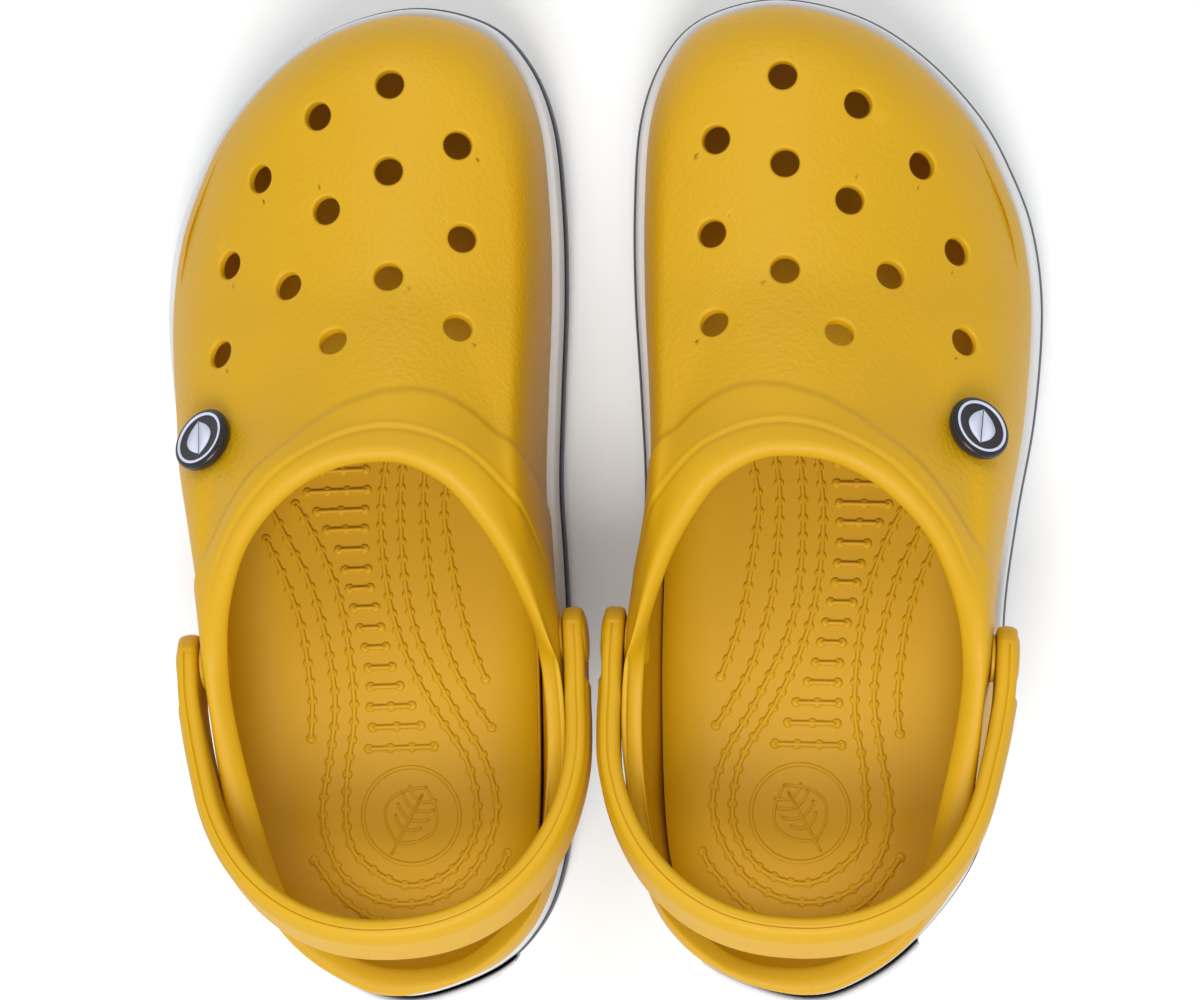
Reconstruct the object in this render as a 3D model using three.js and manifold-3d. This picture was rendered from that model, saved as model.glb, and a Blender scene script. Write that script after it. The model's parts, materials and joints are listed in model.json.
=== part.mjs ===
// A pair of moulded foam garden clogs with heel straps that turn on rivets.
// Millimetres, +Z up, +Y towards the toes and +X towards the wearer's right.
// The origin is on the floor, in the middle of the pair's footprint.

import * as THREE from 'three';
import { mergeVertices } from 'three/addons/utils/BufferGeometryUtils.js';
import Module from 'manifold-3d';

const wasm = await Module();
wasm.setup();

// ---- Driving dimensions of the left clog --------------------------------------
// Its own frame stands on the floor at mid length, with +X to the inner side.

const soleLength = 280.7;
const soleWidth = 114.4;
const gap = 0.3;                 // left between pieces that touch

const soleHeel = 27;             // sole thickness under the heel
const soleToe = 22;              // and under the ball of the foot
const toeSpring = 12;            // how far the toe tip curls off the floor
const heelSpring = 4;            // bevel at the back of the heel
const outsoleHeight = 7;
const stripeLow = 0.34;          // the stripe's edges, as shares of the midsole's height
const stripeHigh = 0.66;
const stripeDepth = 1.5;
const ledge = 3.3;               // the upper stands this far inside the sole's edge

const wall = 4.5;                // upper's wall
const rimRadius = 3.4;           // rolled edge of the collar
const shoulderWidth = 24;        // plan width of the rounded edge of the vamp
const roundness = 2.5;           // exponent of that rounding
const crownRate = 0.0075;        // how fast the vamp falls away to each side, per mm
const innerBulge = 4;            // the inner wall leans out by this much
const outerBulge = -1;           // the outer wall is slightly hollow
const outerHollow = -2.8;        // and more so behind the strap's axis
const heelHollow = -1.4;         // the heel wall leans in

const ventRadius = 3.8;
const footbedThickness = 4;
const footbedCup = 7;            // how far the footbed's edge rises to the wall
const footbedLean = 1.6;         // and leans in with it
const heelHug = 0.3;             // and stays this much further in at the back of the heel

const pivotZ = 58;               // height of the strap's axis
const pivotTurn = 3.55;          // the axis runs this many degrees off square
const strapThickness = 5.5;
const strapArm = 18;             // straight length of each arm
const strapSetIn = 12.2;         // the band's back stays this far inside the collar's back
const strapToeIn = 1.3;          // each arm leans in by this much behind its round end
const strapDrift = 1.3;          // the band leans to the inner side by this much
const strapFullness = 2.2;       // exponent of the band's curve; 2 is an ellipse
const strapEndRadius = 8.7;
const strapArmHeight = 15.5;
const strapBackHeight = 19.5;
const strapTilt = 18;            // degrees above level at rest

const studRadius = 3;
const studClearance = 0.35;
const studHeadRadius = 6.8;
const studHeadHeight = 2;
const capRadius = 6.6;
const capHeight = 1.3;
const capSink = 0.9;             // depth of the recess for the cap in the strap's end
const washerRadius = 6.4;
const washerThickness = 1;
const washerSink = 0.7;          // the washer lies this deep in the wall

const badgeRadius = 8.8;
const badgeHeight = 2.6;
const badgeLift = 0.7;           // its flat back clears the curved wall by this
const badgeStemRadius = 2;
const badgeClipRadius = 4.5;
const badgeClipThickness = 1.2;
const badgeRing = 7.5;           // outer radius of the pale ring
const badgeRingWidth = 0.8;
const leafLength = 9;
const leafWidth = 4.6;
const emblemHeight = 0.5;

const patchShare = 0.1;          // the heel patch reaches this far along each side
const patchThickness = 1.1;
const patchLow = 0.12;
const patchHigh = 0.9;

const pairGap = 3.4;             // between the caps on the facing sides of the pair
const clogTurn = 0.83;           // both stand turned by this many degrees
const rightAhead = 1.84;         // the right clog stands this much further forward

const roundFacets = 16;          // facets round a rivet
const ventFacets = 14;           // and round a vent
const shareSteps = 24;           // facets along each side of the clog
const shellRows = 10;            // and from the sole up to the collar

// ---- Colours and finishes ------------------------------------------------------

const finishes = {
  foam: { color: 0xd8a62a, roughness: 0.55, metalness: 0 },
  band: { color: 0xd7dce6, roughness: 0.5, metalness: 0 },
  stripe: { color: 0x2a2c3c, roughness: 0.5, metalness: 0 },
  outsole: { color: 0xc9cdd4, roughness: 0.6, metalness: 0 },
  rivet: { color: 0xcf9c22, roughness: 0.45, metalness: 0 },
  washer: { color: 0xb98a1c, roughness: 0.5, metalness: 0 },
  badge: { color: 0x23212a, roughness: 0.35, metalness: 0 },
  emblem: { color: 0xcfd3ea, roughness: 0.4, metalness: 0 },
};

// ---- Plan places ----------------------------------------------------------------
// All are in percent of the sole's width and length, from the middle.

const ridgePlace = 7.9;          // where the vamp's ridge runs
const toeSpringStart = 21.4;
const heelSpringStart = -39.9;
const archBack = -21.4;          // the sole thins from here
const archFront = 17.8;          // to here
const badgePlace = [-34.8, 7.3];
const pivotPlace = -13.1;

// Outlines run from the back of the heel round the outer side to the toe, and back
// along the inner side.

const soleOutline = [
  [5.5, -48.6], [-10.5, -46.6], [-24.6, -41.9], [-36.7, -34.7], [-41.3, -25.6], [-43.4, -15],
  [-44.7, -8.5], [-47.9, -0.4], [-52.1, 8.6], [-54.2, 18.9], [-52.4, 26.6], [-47.5, 32.5],
  [-39.5, 38.5], [-25.6, 44.5], [-9.6, 48.5], [10.1, 50.2], [28, 48.5], [38, 44.5], [43.7, 38.5],
  [45.6, 30.3], [45.8, 21.4], [44.7, 11.6], [43.9, 2.6], [44.8, -5.3], [45.7, -16], [45.5, -28.5],
  [43.3, -36], [37.2, -41.8], [26, -46],
];
const collarRim = [
  [7.5, -45], [-7, -43.4], [-21.5, -37.8], [-30.6, -26], [-35.2, -13.4], [-29.5, -3.9],
  [-19.2, 2.1], [-5, 5.9], [10.8, 6.8], [22, 5.2], [29.7, 2.1], [38, -3.9], [45.1, -13.4],
  [46.6, -24], [40.6, -36], [25.5, -43],
];

// Height of the collar's rolled edge, by percent of the length from mid length.
const rimHeights = [[-50, 60], [-45, 61], [-26, 67], [-13.4, 72], [-3.9, 86], [2.1, 94.5], [6.8, 98]];
// Height of the vamp along its ridge.
const ridgeHeights = [
  [-50, 62], [-26, 78], [-13.4, 84], [-4, 92], [2, 95], [5.4, 94], [10, 87], [16.7, 80], [22.8, 73],
  [32.8, 67.5], [41, 65], [50, 63],
];
const acrossAt = (percent) => percent / 100 * soleWidth;
const alongAt = (percent) => percent / 100 * soleLength;
const toPlan = ([x, y]) => new THREE.Vector3(acrossAt(x), alongAt(y), 0);

// Splits a closed plan curve at its back and its front, so that each side can be
// walked from heel (0) to toe (1) by length along the curve.
function splitAtTips(points) {
  const curve = new THREE.CatmullRomCurve3(points.map(toPlan), true, 'catmullrom', 0.5);
  const samples = curve.getPoints(600).slice(0, -1);
  const heights = samples.map((p) => p.y);
  const front = heights.indexOf(Math.max(...heights));
  const back = heights.indexOf(Math.min(...heights));
  const walk = (from, to, step) => {
    const side = [];
    for (let i = from; ; i = (i + step + samples.length) % samples.length) {
      side.push(samples[i]);
      if (i === to) return measured(side);
    }
  };
  return { outer: walk(back, front, 1), inner: walk(back, front, -1) };
}

function measured(points) {
  const lengths = [0];
  for (let i = 1; i < points.length; i++) {
    lengths.push(lengths[i - 1] + points[i].distanceTo(points[i - 1]));
  }
  return { points, lengths };
}

function along({ points, lengths }, share) {
  const target = THREE.MathUtils.clamp(share, 0, 1) * lengths[lengths.length - 1];
  let i = 1;
  while (i < lengths.length - 1 && lengths[i] < target) i++;
  const mix = (target - lengths[i - 1]) / (lengths[i] - lengths[i - 1]);
  return points[i - 1].clone().lerp(points[i], mix);
}

// Smooth curve through [position, value] stations, with level ends.
function through(stations, position) {
  const last = stations.length - 1;
  if (position <= stations[0][0]) return stations[0][1];
  if (position >= stations[last][0]) return stations[last][1];
  let i = 0;
  while (stations[i + 1][0] < position) i++;
  const slope = (k) => {
    if (k === 0 || k === last) return 0;
    return (stations[k + 1][1] - stations[k - 1][1]) / (stations[k + 1][0] - stations[k - 1][0]);
  };
  const span = stations[i + 1][0] - stations[i][0];
  const q = (position - stations[i][0]) / span;
  const rise = stations[i + 1][1] - stations[i][1];
  const startSlope = slope(i) * span;
  const endSlope = slope(i + 1) * span;
  return stations[i][1] + startSlope * q + (3 * rise - 2 * startSlope - endSlope) * q * q
    + (startSlope + endSlope - 2 * rise) * q * q * q;
}

const outline = splitAtTips(soleOutline);
const rim = splitAtTips(collarRim);
const percentAlong = (y) => y / soleLength * 100;
const smooth = (low, high, value) => THREE.MathUtils.smoothstep(value, low, high);

// Point on the sole's outline, moved in by inset. side is 1 on the inner side and
// -1 on the outer side; share runs from heel to toe.
function edgePoint(curves, side, share, inset) {
  const half = side > 0 ? curves.inner : curves.outer;
  const step = 0.004;
  const point = along(half, share);
  const ahead = share + step > 1 ? mirroredTip(curves, side, share, step) : along(half, share + step);
  const behind = share < step ? mirroredTip(curves, side, share, -step) : along(half, share - step);
  const tangent = ahead.sub(behind).normalize();
  return point.add(new THREE.Vector3(-tangent.y, tangent.x, 0).multiplyScalar(side * inset));
}

// Past a tip, the curve goes on along the other side.
function mirroredTip(curves, side, share, step) {
  const other = side > 0 ? curves.outer : curves.inner;
  return step > 0 ? along(other, 2 - share - step) : along(other, -step - share);
}

// ---- Sole heights ---------------------------------------------------------------

function underside(y) {
  const toe = Math.max(0, percentAlong(y) - toeSpringStart) / (50 - toeSpringStart);
  const heel = Math.max(0, heelSpringStart - percentAlong(y)) / (50 + heelSpringStart);
  return toeSpring * toe * toe + heelSpring * heel * heel;
}

const soleThickness = (y) => (
  THREE.MathUtils.lerp(soleHeel, soleToe, smooth(archBack, archFront, percentAlong(y)))
);
const outsoleTop = (y) => underside(y) + outsoleHeight;
const soleTop = (y) => underside(y) + soleThickness(y);
const midsoleLevel = (y, share) => THREE.MathUtils.lerp(outsoleTop(y) + gap, soleTop(y), share);

// ---- The upper's skins -----------------------------------------------------------

// The collar's edge gathers the paths that come up over the toe.
const rimShare = (share) => 1 - Math.pow(1 - share, 1.9);
const ridgeZ = (x, y) => (
  through(ridgeHeights, percentAlong(y)) - crownRate * (x - acrossAt(ridgePlace)) ** 2
);

// How much a place belongs to the back of the heel.
const heelShare = (share) => 1 - smooth(0.02, 0.16, share);

// One path over the upper, from the sole's edge to the collar's edge, on the skin
// that lies inset inside the outer one. It has an even spread of points.
function shellPath(side, share, inset, rows) {
  const foot = edgePoint(outline, side, share, ledge + inset);
  const outward = edgePoint(outline, side, share, 0).sub(edgePoint(outline, side, share, 1));
  const rimInset = inset > 0 ? rimRadius : 0;
  const collar = edgePoint(rim, side, rimShare(share), rimInset);
  const rimZ = through(rimHeights, percentAlong(edgePoint(rim, side, rimShare(share), 0).y)) - rimInset;
  const base = soleTop(foot.y) + gap;
  const length = foot.distanceTo(collar);
  const shoulder = length * shoulderWidth / Math.hypot(length, shoulderWidth);
  const forward = smooth(0.38, 0.56, share);
  const outerLean = THREE.MathUtils.lerp(outerHollow, outerBulge, smooth(0.3, 0.36, share));
  const sideLean = (side > 0 ? innerBulge : outerLean) * smooth(0.04, 0.3, share);
  const bulge = (sideLean + heelHollow * heelShare(share)) * (1 - forward);
  const settle = rimZ - ridgeZ(collar.x, collar.y) + inset;
  const power = 2 / roundness;
  const place = (planShare, rise) => {
    const point = foot.clone().lerp(collar, planShare);
    const ridge = ridgeZ(point.x, point.y) - inset + settle * smooth(0.6, 1, planShare);
    const top = THREE.MathUtils.lerp(rimZ, ridge, forward);
    point.addScaledVector(outward, bulge * Math.sin(Math.PI * rise * rise));
    point.z = base + (top - base) * rise;
    return point;
  };
  const points = [];
  const steps = 40;
  for (let i = 0; i <= steps; i++) {
    const angle = i / steps * Math.PI / 2;
    const planShare = shoulder / length * (1 - Math.pow(Math.cos(angle), power));
    points.push(place(planShare, Math.pow(Math.sin(angle), power)));
  }
  for (let i = 1; i <= steps; i++) {
    points.push(place(THREE.MathUtils.lerp(shoulder / length, 1, i / steps), 1));
  }
  const path = measured(points);
  return Array.from({ length: rows + 1 }, (_, i) => along(path, Math.pow(i / rows, 1.15)));
}

// Loop of points round the clog: heel, outer side, toe, inner side.
function loopOf(place) {
  const loop = [];
  for (let i = 0; i <= shareSteps; i++) loop.push(place(-1, i / shareSteps));
  for (let i = shareSteps - 1; i > 0; i--) loop.push(place(1, i / shareSteps));
  return loop;
}

// Loops of the upper's outer or inner skin, from the sole's edge to the collar.
function skinLoops(inset) {
  const paths = loopOf((side, share) => shellPath(side, share, inset, shellRows));
  return Array.from({ length: shellRows + 1 }, (_, row) => paths.map((path) => path[row]));
}

// ---- Closed bodies from loops ------------------------------------------------------

function bodyFrom(positions, triangles) {
  const geometry = new THREE.BufferGeometry();
  geometry.setAttribute('position', new THREE.Float32BufferAttribute(positions, 3));
  geometry.setIndex(triangles);
  return turnedOut(geometry);
}

// Flips a body whose faces point inwards.
function turnedOut(geometry) {
  const place = geometry.getAttribute('position');
  const index = geometry.getIndex().array;
  const corner = (i) => new THREE.Vector3().fromBufferAttribute(place, index[i]);
  let volume = 0;
  for (let i = 0; i < index.length; i += 3) {
    volume += corner(i).dot(corner(i + 1).cross(corner(i + 2)));
  }
  if (volume < 0) {
    for (let i = 0; i < index.length; i += 3) [index[i], index[i + 1]] = [index[i + 1], index[i]];
  }
  return geometry;
}

function joinLoops(triangles, count, first, second) {
  for (let i = 0; i < count; i++) {
    const next = (i + 1) % count;
    triangles.push(first + i, first + next, second + i, first + next, second + next, second + i);
  }
}

// Ring-shaped body: the last loop joins the first.
function ringBody(loops) {
  const count = loops[0].length;
  const triangles = [];
  loops.forEach((_, k) => joinLoops(triangles, count, k * count, (k + 1) % loops.length * count));
  return bodyFrom(loops.flat().flatMap((p) => p.toArray()), triangles);
}

// Solid body: the first and last loops are closed by rungs from side to side.
function slabBody(loops) {
  const count = loops[0].length;
  const triangles = [];
  const last = loops.length - 1;
  for (let k = 0; k < last; k++) joinLoops(triangles, count, k * count, (k + 1) * count);
  const rungs = (first, flip) => {
    for (let i = 0; i < count / 2; i++) {
      const far = (k) => first + (count - k) % count;
      const [a, b, c, d] = [first + i, first + i + 1, far(i + 1), far(i)];
      const faces = [];
      if (d !== a) faces.push([a, c, d]);
      if (b !== c) faces.push([a, b, c]);
      faces.forEach(([p, q, r]) => triangles.push(...(flip ? [p, r, q] : [p, q, r])));
    }
  };
  rungs(0, true);
  rungs(last * count, false);
  return bodyFrom(loops.flat().flatMap((p) => p.toArray()), triangles);
}

// Bar: cross-sections one after another, with flat ends.
function barBody(sections) {
  const count = sections[0].length;
  const triangles = [];
  const last = sections.length - 1;
  for (let k = 0; k < last; k++) joinLoops(triangles, count, k * count, (k + 1) * count);
  for (let i = 1; i < count - 1; i++) {
    triangles.push(0, i + 1, i, last * count, last * count + i, last * count + i + 1);
  }
  return bodyFrom(sections.flat().flatMap((p) => p.toArray()), triangles);
}

// ---- Joins and cuts -------------------------------------------------------------------

function toSolid(geometry) {
  const plain = geometry.clone();
  plain.deleteAttribute('normal');
  plain.deleteAttribute('uv');
  const merged = mergeVertices(plain, 1e-4);
  const mesh = new wasm.Mesh({
    numProp: 3,
    vertProperties: new Float32Array(merged.getAttribute('position').array),
    triVerts: new Uint32Array(merged.getIndex().array),
  });
  return new wasm.Manifold(mesh);
}

function toGeometry(solid) {
  const mesh = solid.getMesh();
  const geometry = new THREE.BufferGeometry();
  geometry.setAttribute('position', new THREE.Float32BufferAttribute(mesh.vertProperties, 3));
  geometry.setIndex([...mesh.triVerts]);
  return geometry;
}

const cut = (geometry, tools) => toGeometry(
  tools.reduce((solid, tool) => solid.subtract(toSolid(tool)), toSolid(geometry)),
);
const join = (geometries) => toGeometry(
  geometries.slice(1).reduce((solid, other) => solid.add(toSolid(other)), toSolid(geometries[0])),
);

// Round body turned about an axis that starts at a point; the profile's pairs are
// radius and distance along the axis.
function turned(profile, point, axis, segments = 24) {
  const points = profile.map(([radius, distance]) => new THREE.Vector2(radius, distance));
  const geometry = new THREE.LatheGeometry(points, segments);
  const turn = new THREE.Quaternion().setFromUnitVectors(new THREE.Vector3(0, 1, 0), axis);
  geometry.applyQuaternion(turn);
  return geometry.translate(point.x, point.y, point.z);
}

const rod = (radius, low, high) => [[0, low], [radius, low], [radius, high], [0, high]];
const tube = (inner, outer, low, high) => (
  [[inner, low], [outer, low], [outer, high], [inner, high], [inner, low]]
);

// ---- Points on the upper ----------------------------------------------------------------

const finePaths = [-1, 1].flatMap((side) => (
  Array.from({ length: 90 }, (_, i) => shellPath(side, (i + 0.5) / 90, 0, 60))
));

// Point on the outer skin over a plan position, with the skin's outward normal.
function onShell(x, y) {
  let best = Infinity;
  let found = null;
  for (let i = 1; i < finePaths.length - 1; i++) {
    for (let row = 1; row < 60; row++) {
      const point = finePaths[i][row];
      const distance = Math.hypot(point.x - x, point.y - y);
      if (distance < best) {
        best = distance;
        found = [i, row];
      }
    }
  }
  const [i, row] = found;
  const across = finePaths[i + 1][row].clone().sub(finePaths[i - 1][row]);
  const upward = finePaths[i][row + 1].clone().sub(finePaths[i][row - 1]);
  const normal = across.cross(upward).normalize();
  if (normal.z < 0) normal.negate();
  const point = finePaths[i][row].clone();
  point.z -= (normal.x * (x - point.x) + normal.y * (y - point.y)) / normal.z;
  point.x = x;
  point.y = y;
  return { point, normal };
}

// Vent holes, in percent of the sole's width and length.
const vents = [
  [8, 41.1], [-9.5, 38.3], [23.8, 35.2], [-24.2, 32.6], [7.7, 32.8], [-7.2, 29.2], [24.9, 26.3],
  [-32, 24.4], [-16.3, 22.1], [8, 22.7], [-33.2, 15.8], [-4.4, 16.7], [24.4, 17.8],
];

const badgeSeat = onShell(acrossAt(badgePlace[0]), alongAt(badgePlace[1]));

// ---- Strap axis ------------------------------------------------------------------------

const axisTurn = new THREE.Quaternion().setFromAxisAngle(
  new THREE.Vector3(0, 0, 1),
  THREE.MathUtils.degToRad(pivotTurn),
);
const axisOut = (side) => new THREE.Vector3(side, 0, 0).applyQuaternion(axisTurn);

// Where the outer skin crosses the axis on one side.
function wallAtAxis(side) {
  const slope = Math.tan(THREE.MathUtils.degToRad(pivotTurn));
  const offAxis = (p) => Math.hypot(p.y - alongAt(pivotPlace) - slope * p.x, p.z - pivotZ);
  const points = finePaths.flat().filter((p) => p.x * side > 0);
  return points.reduce((a, b) => (offAxis(b) < offAxis(a) ? b : a)).x;
}

const outerWall = wallAtAxis(-1);
const innerWall = wallAtAxis(1);
const pivot = new THREE.Vector3((outerWall + innerWall) / 2, alongAt(pivotPlace), pivotZ);

// Distances from the axis' middle, outwards through one side.
const wallSeat = (innerWall - outerWall) / 2;
const washerInner = wallSeat - washerSink;
const strapInner = washerInner + washerThickness + gap;
const strapOuter = strapInner + strapThickness;
const capSeat = strapOuter - capSink + gap;
const capSocket = capSeat + capHeight * 0.45;
const capTop = capSeat + capHeight;
const clogSpacing = 2 * (pivot.x + capTop) + pairGap;
const pivotHalfSpan = (strapInner + strapOuter) / 2;
const headSeat = wallSeat - wall + 0.4;
const collarBack = along(rim.outer, 0).y;
const strapReach = pivot.y - collarBack - strapSetIn;

// ---- The pieces of a left clog -----------------------------------------------------------

function upperShell() {
  const outer = skinLoops(0);
  const inner = skinLoops(wall);
  const crest = outer[shellRows].map((p, i) => (
    p.clone().lerp(inner[shellRows][i], 0.6).add(new THREE.Vector3(0, 0, rimRadius * 0.32))
  ));
  const body = ringBody([...outer, crest, ...inner.reverse()]);
  const reach = 3 * wall;
  const holes = vents.map(([x, y]) => {
    const { point, normal } = onShell(acrossAt(x), alongAt(y));
    return turned(rod(ventRadius, -reach, reach), point, normal, ventFacets);
  });
  const stemHole = rod(badgeStemRadius + gap, -reach, reach);
  holes.push(turned(stemHole, badgeSeat.point, badgeSeat.normal, 10));
  for (const side of [-1, 1]) {
    const axis = axisOut(side);
    holes.push(turned(rod(studRadius + gap, headSeat - reach, strapOuter), pivot, axis, roundFacets));
    holes.push(turned(rod(strapEndRadius + 1, wallSeat, strapOuter), pivot, axis, roundFacets));
    holes.push(turned(rod(washerRadius + gap, washerInner - gap, strapOuter), pivot, axis, roundFacets));
    holes.push(turned(rod(studHeadRadius + gap, headSeat - reach, headSeat), pivot, axis, roundFacets));
  }
  return cut(body, [...holes, strapBar(gap)]);
}

// Slab whose levels stand at insets from the sole's edge; heelInset adds to them at
// the back of the heel.
function slabAt(levels, heelInset = 0) {
  return slabBody(levels.map(([inset, height]) => loopOf((side, share) => {
    const point = edgePoint(outline, side, share, inset + heelInset * heelShare(share));
    return point.setZ(height(point.y));
  })));
}

function footbed() {
  const edge = ledge + wall + 1 + gap;
  const top = (lift) => (y) => soleTop(y) + gap + footbedThickness + lift;
  return slabAt([
    [edge, (y) => soleTop(y) + gap],
    [edge + footbedLean, top(footbedCup)],
    [edge + 5, top(footbedCup * 0.35)],
    [edge + 12, top(0)],
  ], heelHug);
}

const stripeInset = 0.3;
const stripeLean = 0.8;

function midsole() {
  const groove = stripeInset + stripeDepth + gap;
  return slabAt([
    [0.3, (y) => midsoleLevel(y, 0)],
    [0, (y) => midsoleLevel(y, 0.12)],
    [stripeInset, (y) => midsoleLevel(y, stripeLow)],
    [groove, (y) => midsoleLevel(y, stripeLow)],
    [groove + stripeLean, (y) => midsoleLevel(y, stripeHigh)],
    [stripeInset + stripeLean, (y) => midsoleLevel(y, stripeHigh)],
    [stripeInset + 2 * stripeLean, (y) => midsoleLevel(y, 1)],
  ]);
}

function sideStripe() {
  const corner = (inset, share, lift) => loopOf((side, position) => {
    const point = edgePoint(outline, side, position, inset);
    return point.setZ(midsoleLevel(point.y, share) + lift);
  });
  return ringBody([
    corner(stripeInset, stripeLow, gap),
    corner(stripeInset + stripeLean, stripeHigh, -gap),
    corner(stripeInset + stripeLean + stripeDepth, stripeHigh, -gap),
    corner(stripeInset + stripeDepth, stripeLow, gap),
  ]);
}

function outsole() {
  return slabAt([
    [4.5, underside],
    [1.8, (y) => underside(y) + 1.6],
    [1.4, outsoleTop],
  ]);
}

// Curved plate on the back of the midsole, outside its edge.
function heelPatch() {
  const steps = 16;
  const sections = Array.from({ length: steps + 1 }, (_, i) => {
    const position = (2 * i / steps - 1) * patchShare;
    const corner = (inset, share) => {
      const point = edgePoint(outline, position < 0 ? -1 : 1, Math.abs(position), inset);
      return point.setZ(midsoleLevel(point.y, share));
    };
    const outside = -gap - patchThickness;
    return [
      corner(-gap, patchLow), corner(outside, patchLow), corner(outside, patchHigh), corner(-gap, patchHigh),
    ];
  });
  return barBody(sections);
}

// Middle line of the strap as it lies level behind its axis, by share from the tip
// of one end round to the tip of the other.
function strapLine(share) {
  const side = share < 0.5 ? -1 : 1;
  const position = 1 - Math.abs(2 * share - 1);
  const straight = strapEndRadius + strapArm;
  const curved = (Math.PI / 2) * (pivotHalfSpan + strapReach - strapArm) / 2;
  const travelled = position * (straight + curved);
  if (travelled <= straight) {
    const behind = travelled - strapEndRadius;
    const lean = strapToeIn * Math.max(0, behind - strapEndRadius) / (strapArm - strapEndRadius);
    return new THREE.Vector3(side * (pivotHalfSpan - lean), -behind, 0);
  }
  const angle = (travelled - straight) / curved * Math.PI / 2;
  const power = 2 / strapFullness;
  return new THREE.Vector3(
    side * (pivotHalfSpan - strapToeIn) * Math.pow(Math.max(Math.cos(angle), 0), power),
    -strapArm - (strapReach - strapArm) * Math.pow(Math.sin(angle), power),
    0,
  );
}

function strapHeight(behind) {
  if (behind < 0) return 2 * Math.sqrt(Math.max(strapEndRadius ** 2 - behind ** 2, 0.8));
  const arm = THREE.MathUtils.lerp(2 * strapEndRadius, strapArmHeight, smooth(0, strapArm, behind));
  return THREE.MathUtils.lerp(arm, strapBackHeight, smooth(strapArm, strapReach, behind));
}

// The strap's band as it stands at rest, grown by so much on every side.
function strapBar(grow) {
  const steps = 44;
  const sections = Array.from({ length: steps + 1 }, (_, i) => {
    const share = i / steps;
    const middle = strapLine(share);
    const step = 0.002;
    const before = strapLine(Math.max(0, share - step));
    const tangent = strapLine(Math.min(1, share + step)).sub(before).normalize();
    const outward = new THREE.Vector3(tangent.y, -tangent.x, 0);
    const half = strapHeight(-middle.y) / 2 + grow;
    const drift = strapDrift * smooth(strapEndRadius, 2 * strapArm, -middle.y);
    const corners = [[-1, -0.7], [-0.5, -1], [0.5, -1], [1, -0.7], [1, 0.7], [0.5, 1], [-0.5, 1], [-1, 0.7]];
    return corners.map(([across, up]) => (
      middle.clone().addScaledVector(outward, across * (strapThickness / 2 + grow))
        .add(new THREE.Vector3(drift, 0, up * half))
    ));
  });
  const bar = barBody(sections);
  bar.rotateX(-THREE.MathUtils.degToRad(strapTilt));
  bar.applyQuaternion(axisTurn);
  return bar.translate(pivot.x, pivot.y, pivot.z);
}

function heelStrap() {
  const bore = rod(studRadius + studClearance, strapInner - 5, strapOuter + 5);
  const recess = rod(capRadius + studClearance, strapOuter - capSink, strapOuter + 5);
  const holes = [-1, 1].flatMap((side) => (
    [bore, recess].map((profile) => turned(profile, pivot, axisOut(side), roundFacets))
  ));
  return cut(strapBar(0), holes);
}

const rivetStud = (side) => turned([
  [0, headSeat - gap - studHeadHeight],
  [studHeadRadius * 0.8, headSeat - gap - studHeadHeight],
  [studHeadRadius, headSeat - gap - studHeadHeight * 0.5],
  [studHeadRadius, headSeat - gap],
  [studRadius, headSeat - gap],
  [studRadius, capSeat],
  [0, capSeat],
], pivot, axisOut(side), roundFacets);

const rivetCap = (side) => turned([
  [0, capSocket],
  [studRadius + gap, capSocket],
  [studRadius + gap, capSeat],
  [capRadius, capSeat],
  [capRadius, capSeat + capHeight * 0.4],
  [capRadius * 0.8, capSeat + capHeight * 0.9],
  [0, capTop],
], pivot, axisOut(side), roundFacets);

const washer = (side) => turned(
  tube(studRadius + gap, washerRadius, washerInner, washerInner + washerThickness),
  pivot,
  axisOut(side),
  roundFacets,
);

const clipDepth = 1.6 * wall;

const badgeButton = () => turned([
  [0, -clipDepth - badgeClipThickness - 1],
  [badgeStemRadius, -clipDepth - badgeClipThickness - 1],
  [badgeStemRadius, badgeLift],
  [badgeRadius * 0.94, badgeLift],
  [badgeRadius, badgeLift + badgeHeight * 0.3],
  [badgeRadius, badgeLift + badgeHeight * 0.65],
  [badgeRadius * 0.93, badgeLift + badgeHeight],
  [0, badgeLift + badgeHeight],
], badgeSeat.point, badgeSeat.normal, 20);

const badgeClip = () => turned(
  tube(badgeStemRadius + gap, badgeClipRadius, -clipDepth - badgeClipThickness, -clipDepth),
  badgeSeat.point,
  badgeSeat.normal,
  12,
);

// Raised ring with a plain leaf inside it, whose stalk meets the ring.
function badgeEmblem() {
  const flat = (shape) => new THREE.ExtrudeGeometry(shape, {
    depth: emblemHeight,
    bevelEnabled: false,
    curveSegments: 7,
  });
  const ring = new THREE.Shape().absarc(0, 0, badgeRing, 0, 2 * Math.PI);
  ring.holes.push(new THREE.Path().absarc(0, 0, badgeRing - badgeRingWidth, 0, 2 * Math.PI, true));
  const leaf = new THREE.Shape();
  const tip = leafLength / 2;
  leaf.moveTo(0, -tip);
  leaf.bezierCurveTo(leafWidth, -tip * 0.4, leafWidth * 0.7, tip * 0.5, 0, tip);
  leaf.bezierCurveTo(-leafWidth * 0.7, tip * 0.5, -leafWidth, -tip * 0.4, 0, -tip);
  const stalkEnd = -badgeRing + badgeRingWidth * 0.5;
  const stalk = new THREE.Shape([[-0.4, stalkEnd], [0.4, stalkEnd], [0.4, -tip + 1], [-0.4, -tip + 1]]
    .map(([x, y]) => new THREE.Vector2(x, y)));
  const emblem = join([flat(ring), flat(leaf), flat(stalk)]);
  const turn = new THREE.Quaternion().setFromUnitVectors(new THREE.Vector3(0, 0, 1), badgeSeat.normal);
  const lift = badgeLift + badgeHeight + gap;
  const seat = badgeSeat.point.clone().addScaledVector(badgeSeat.normal, lift);
  return emblem.applyQuaternion(turn).translate(seat.x, seat.y, seat.z);
}

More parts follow.
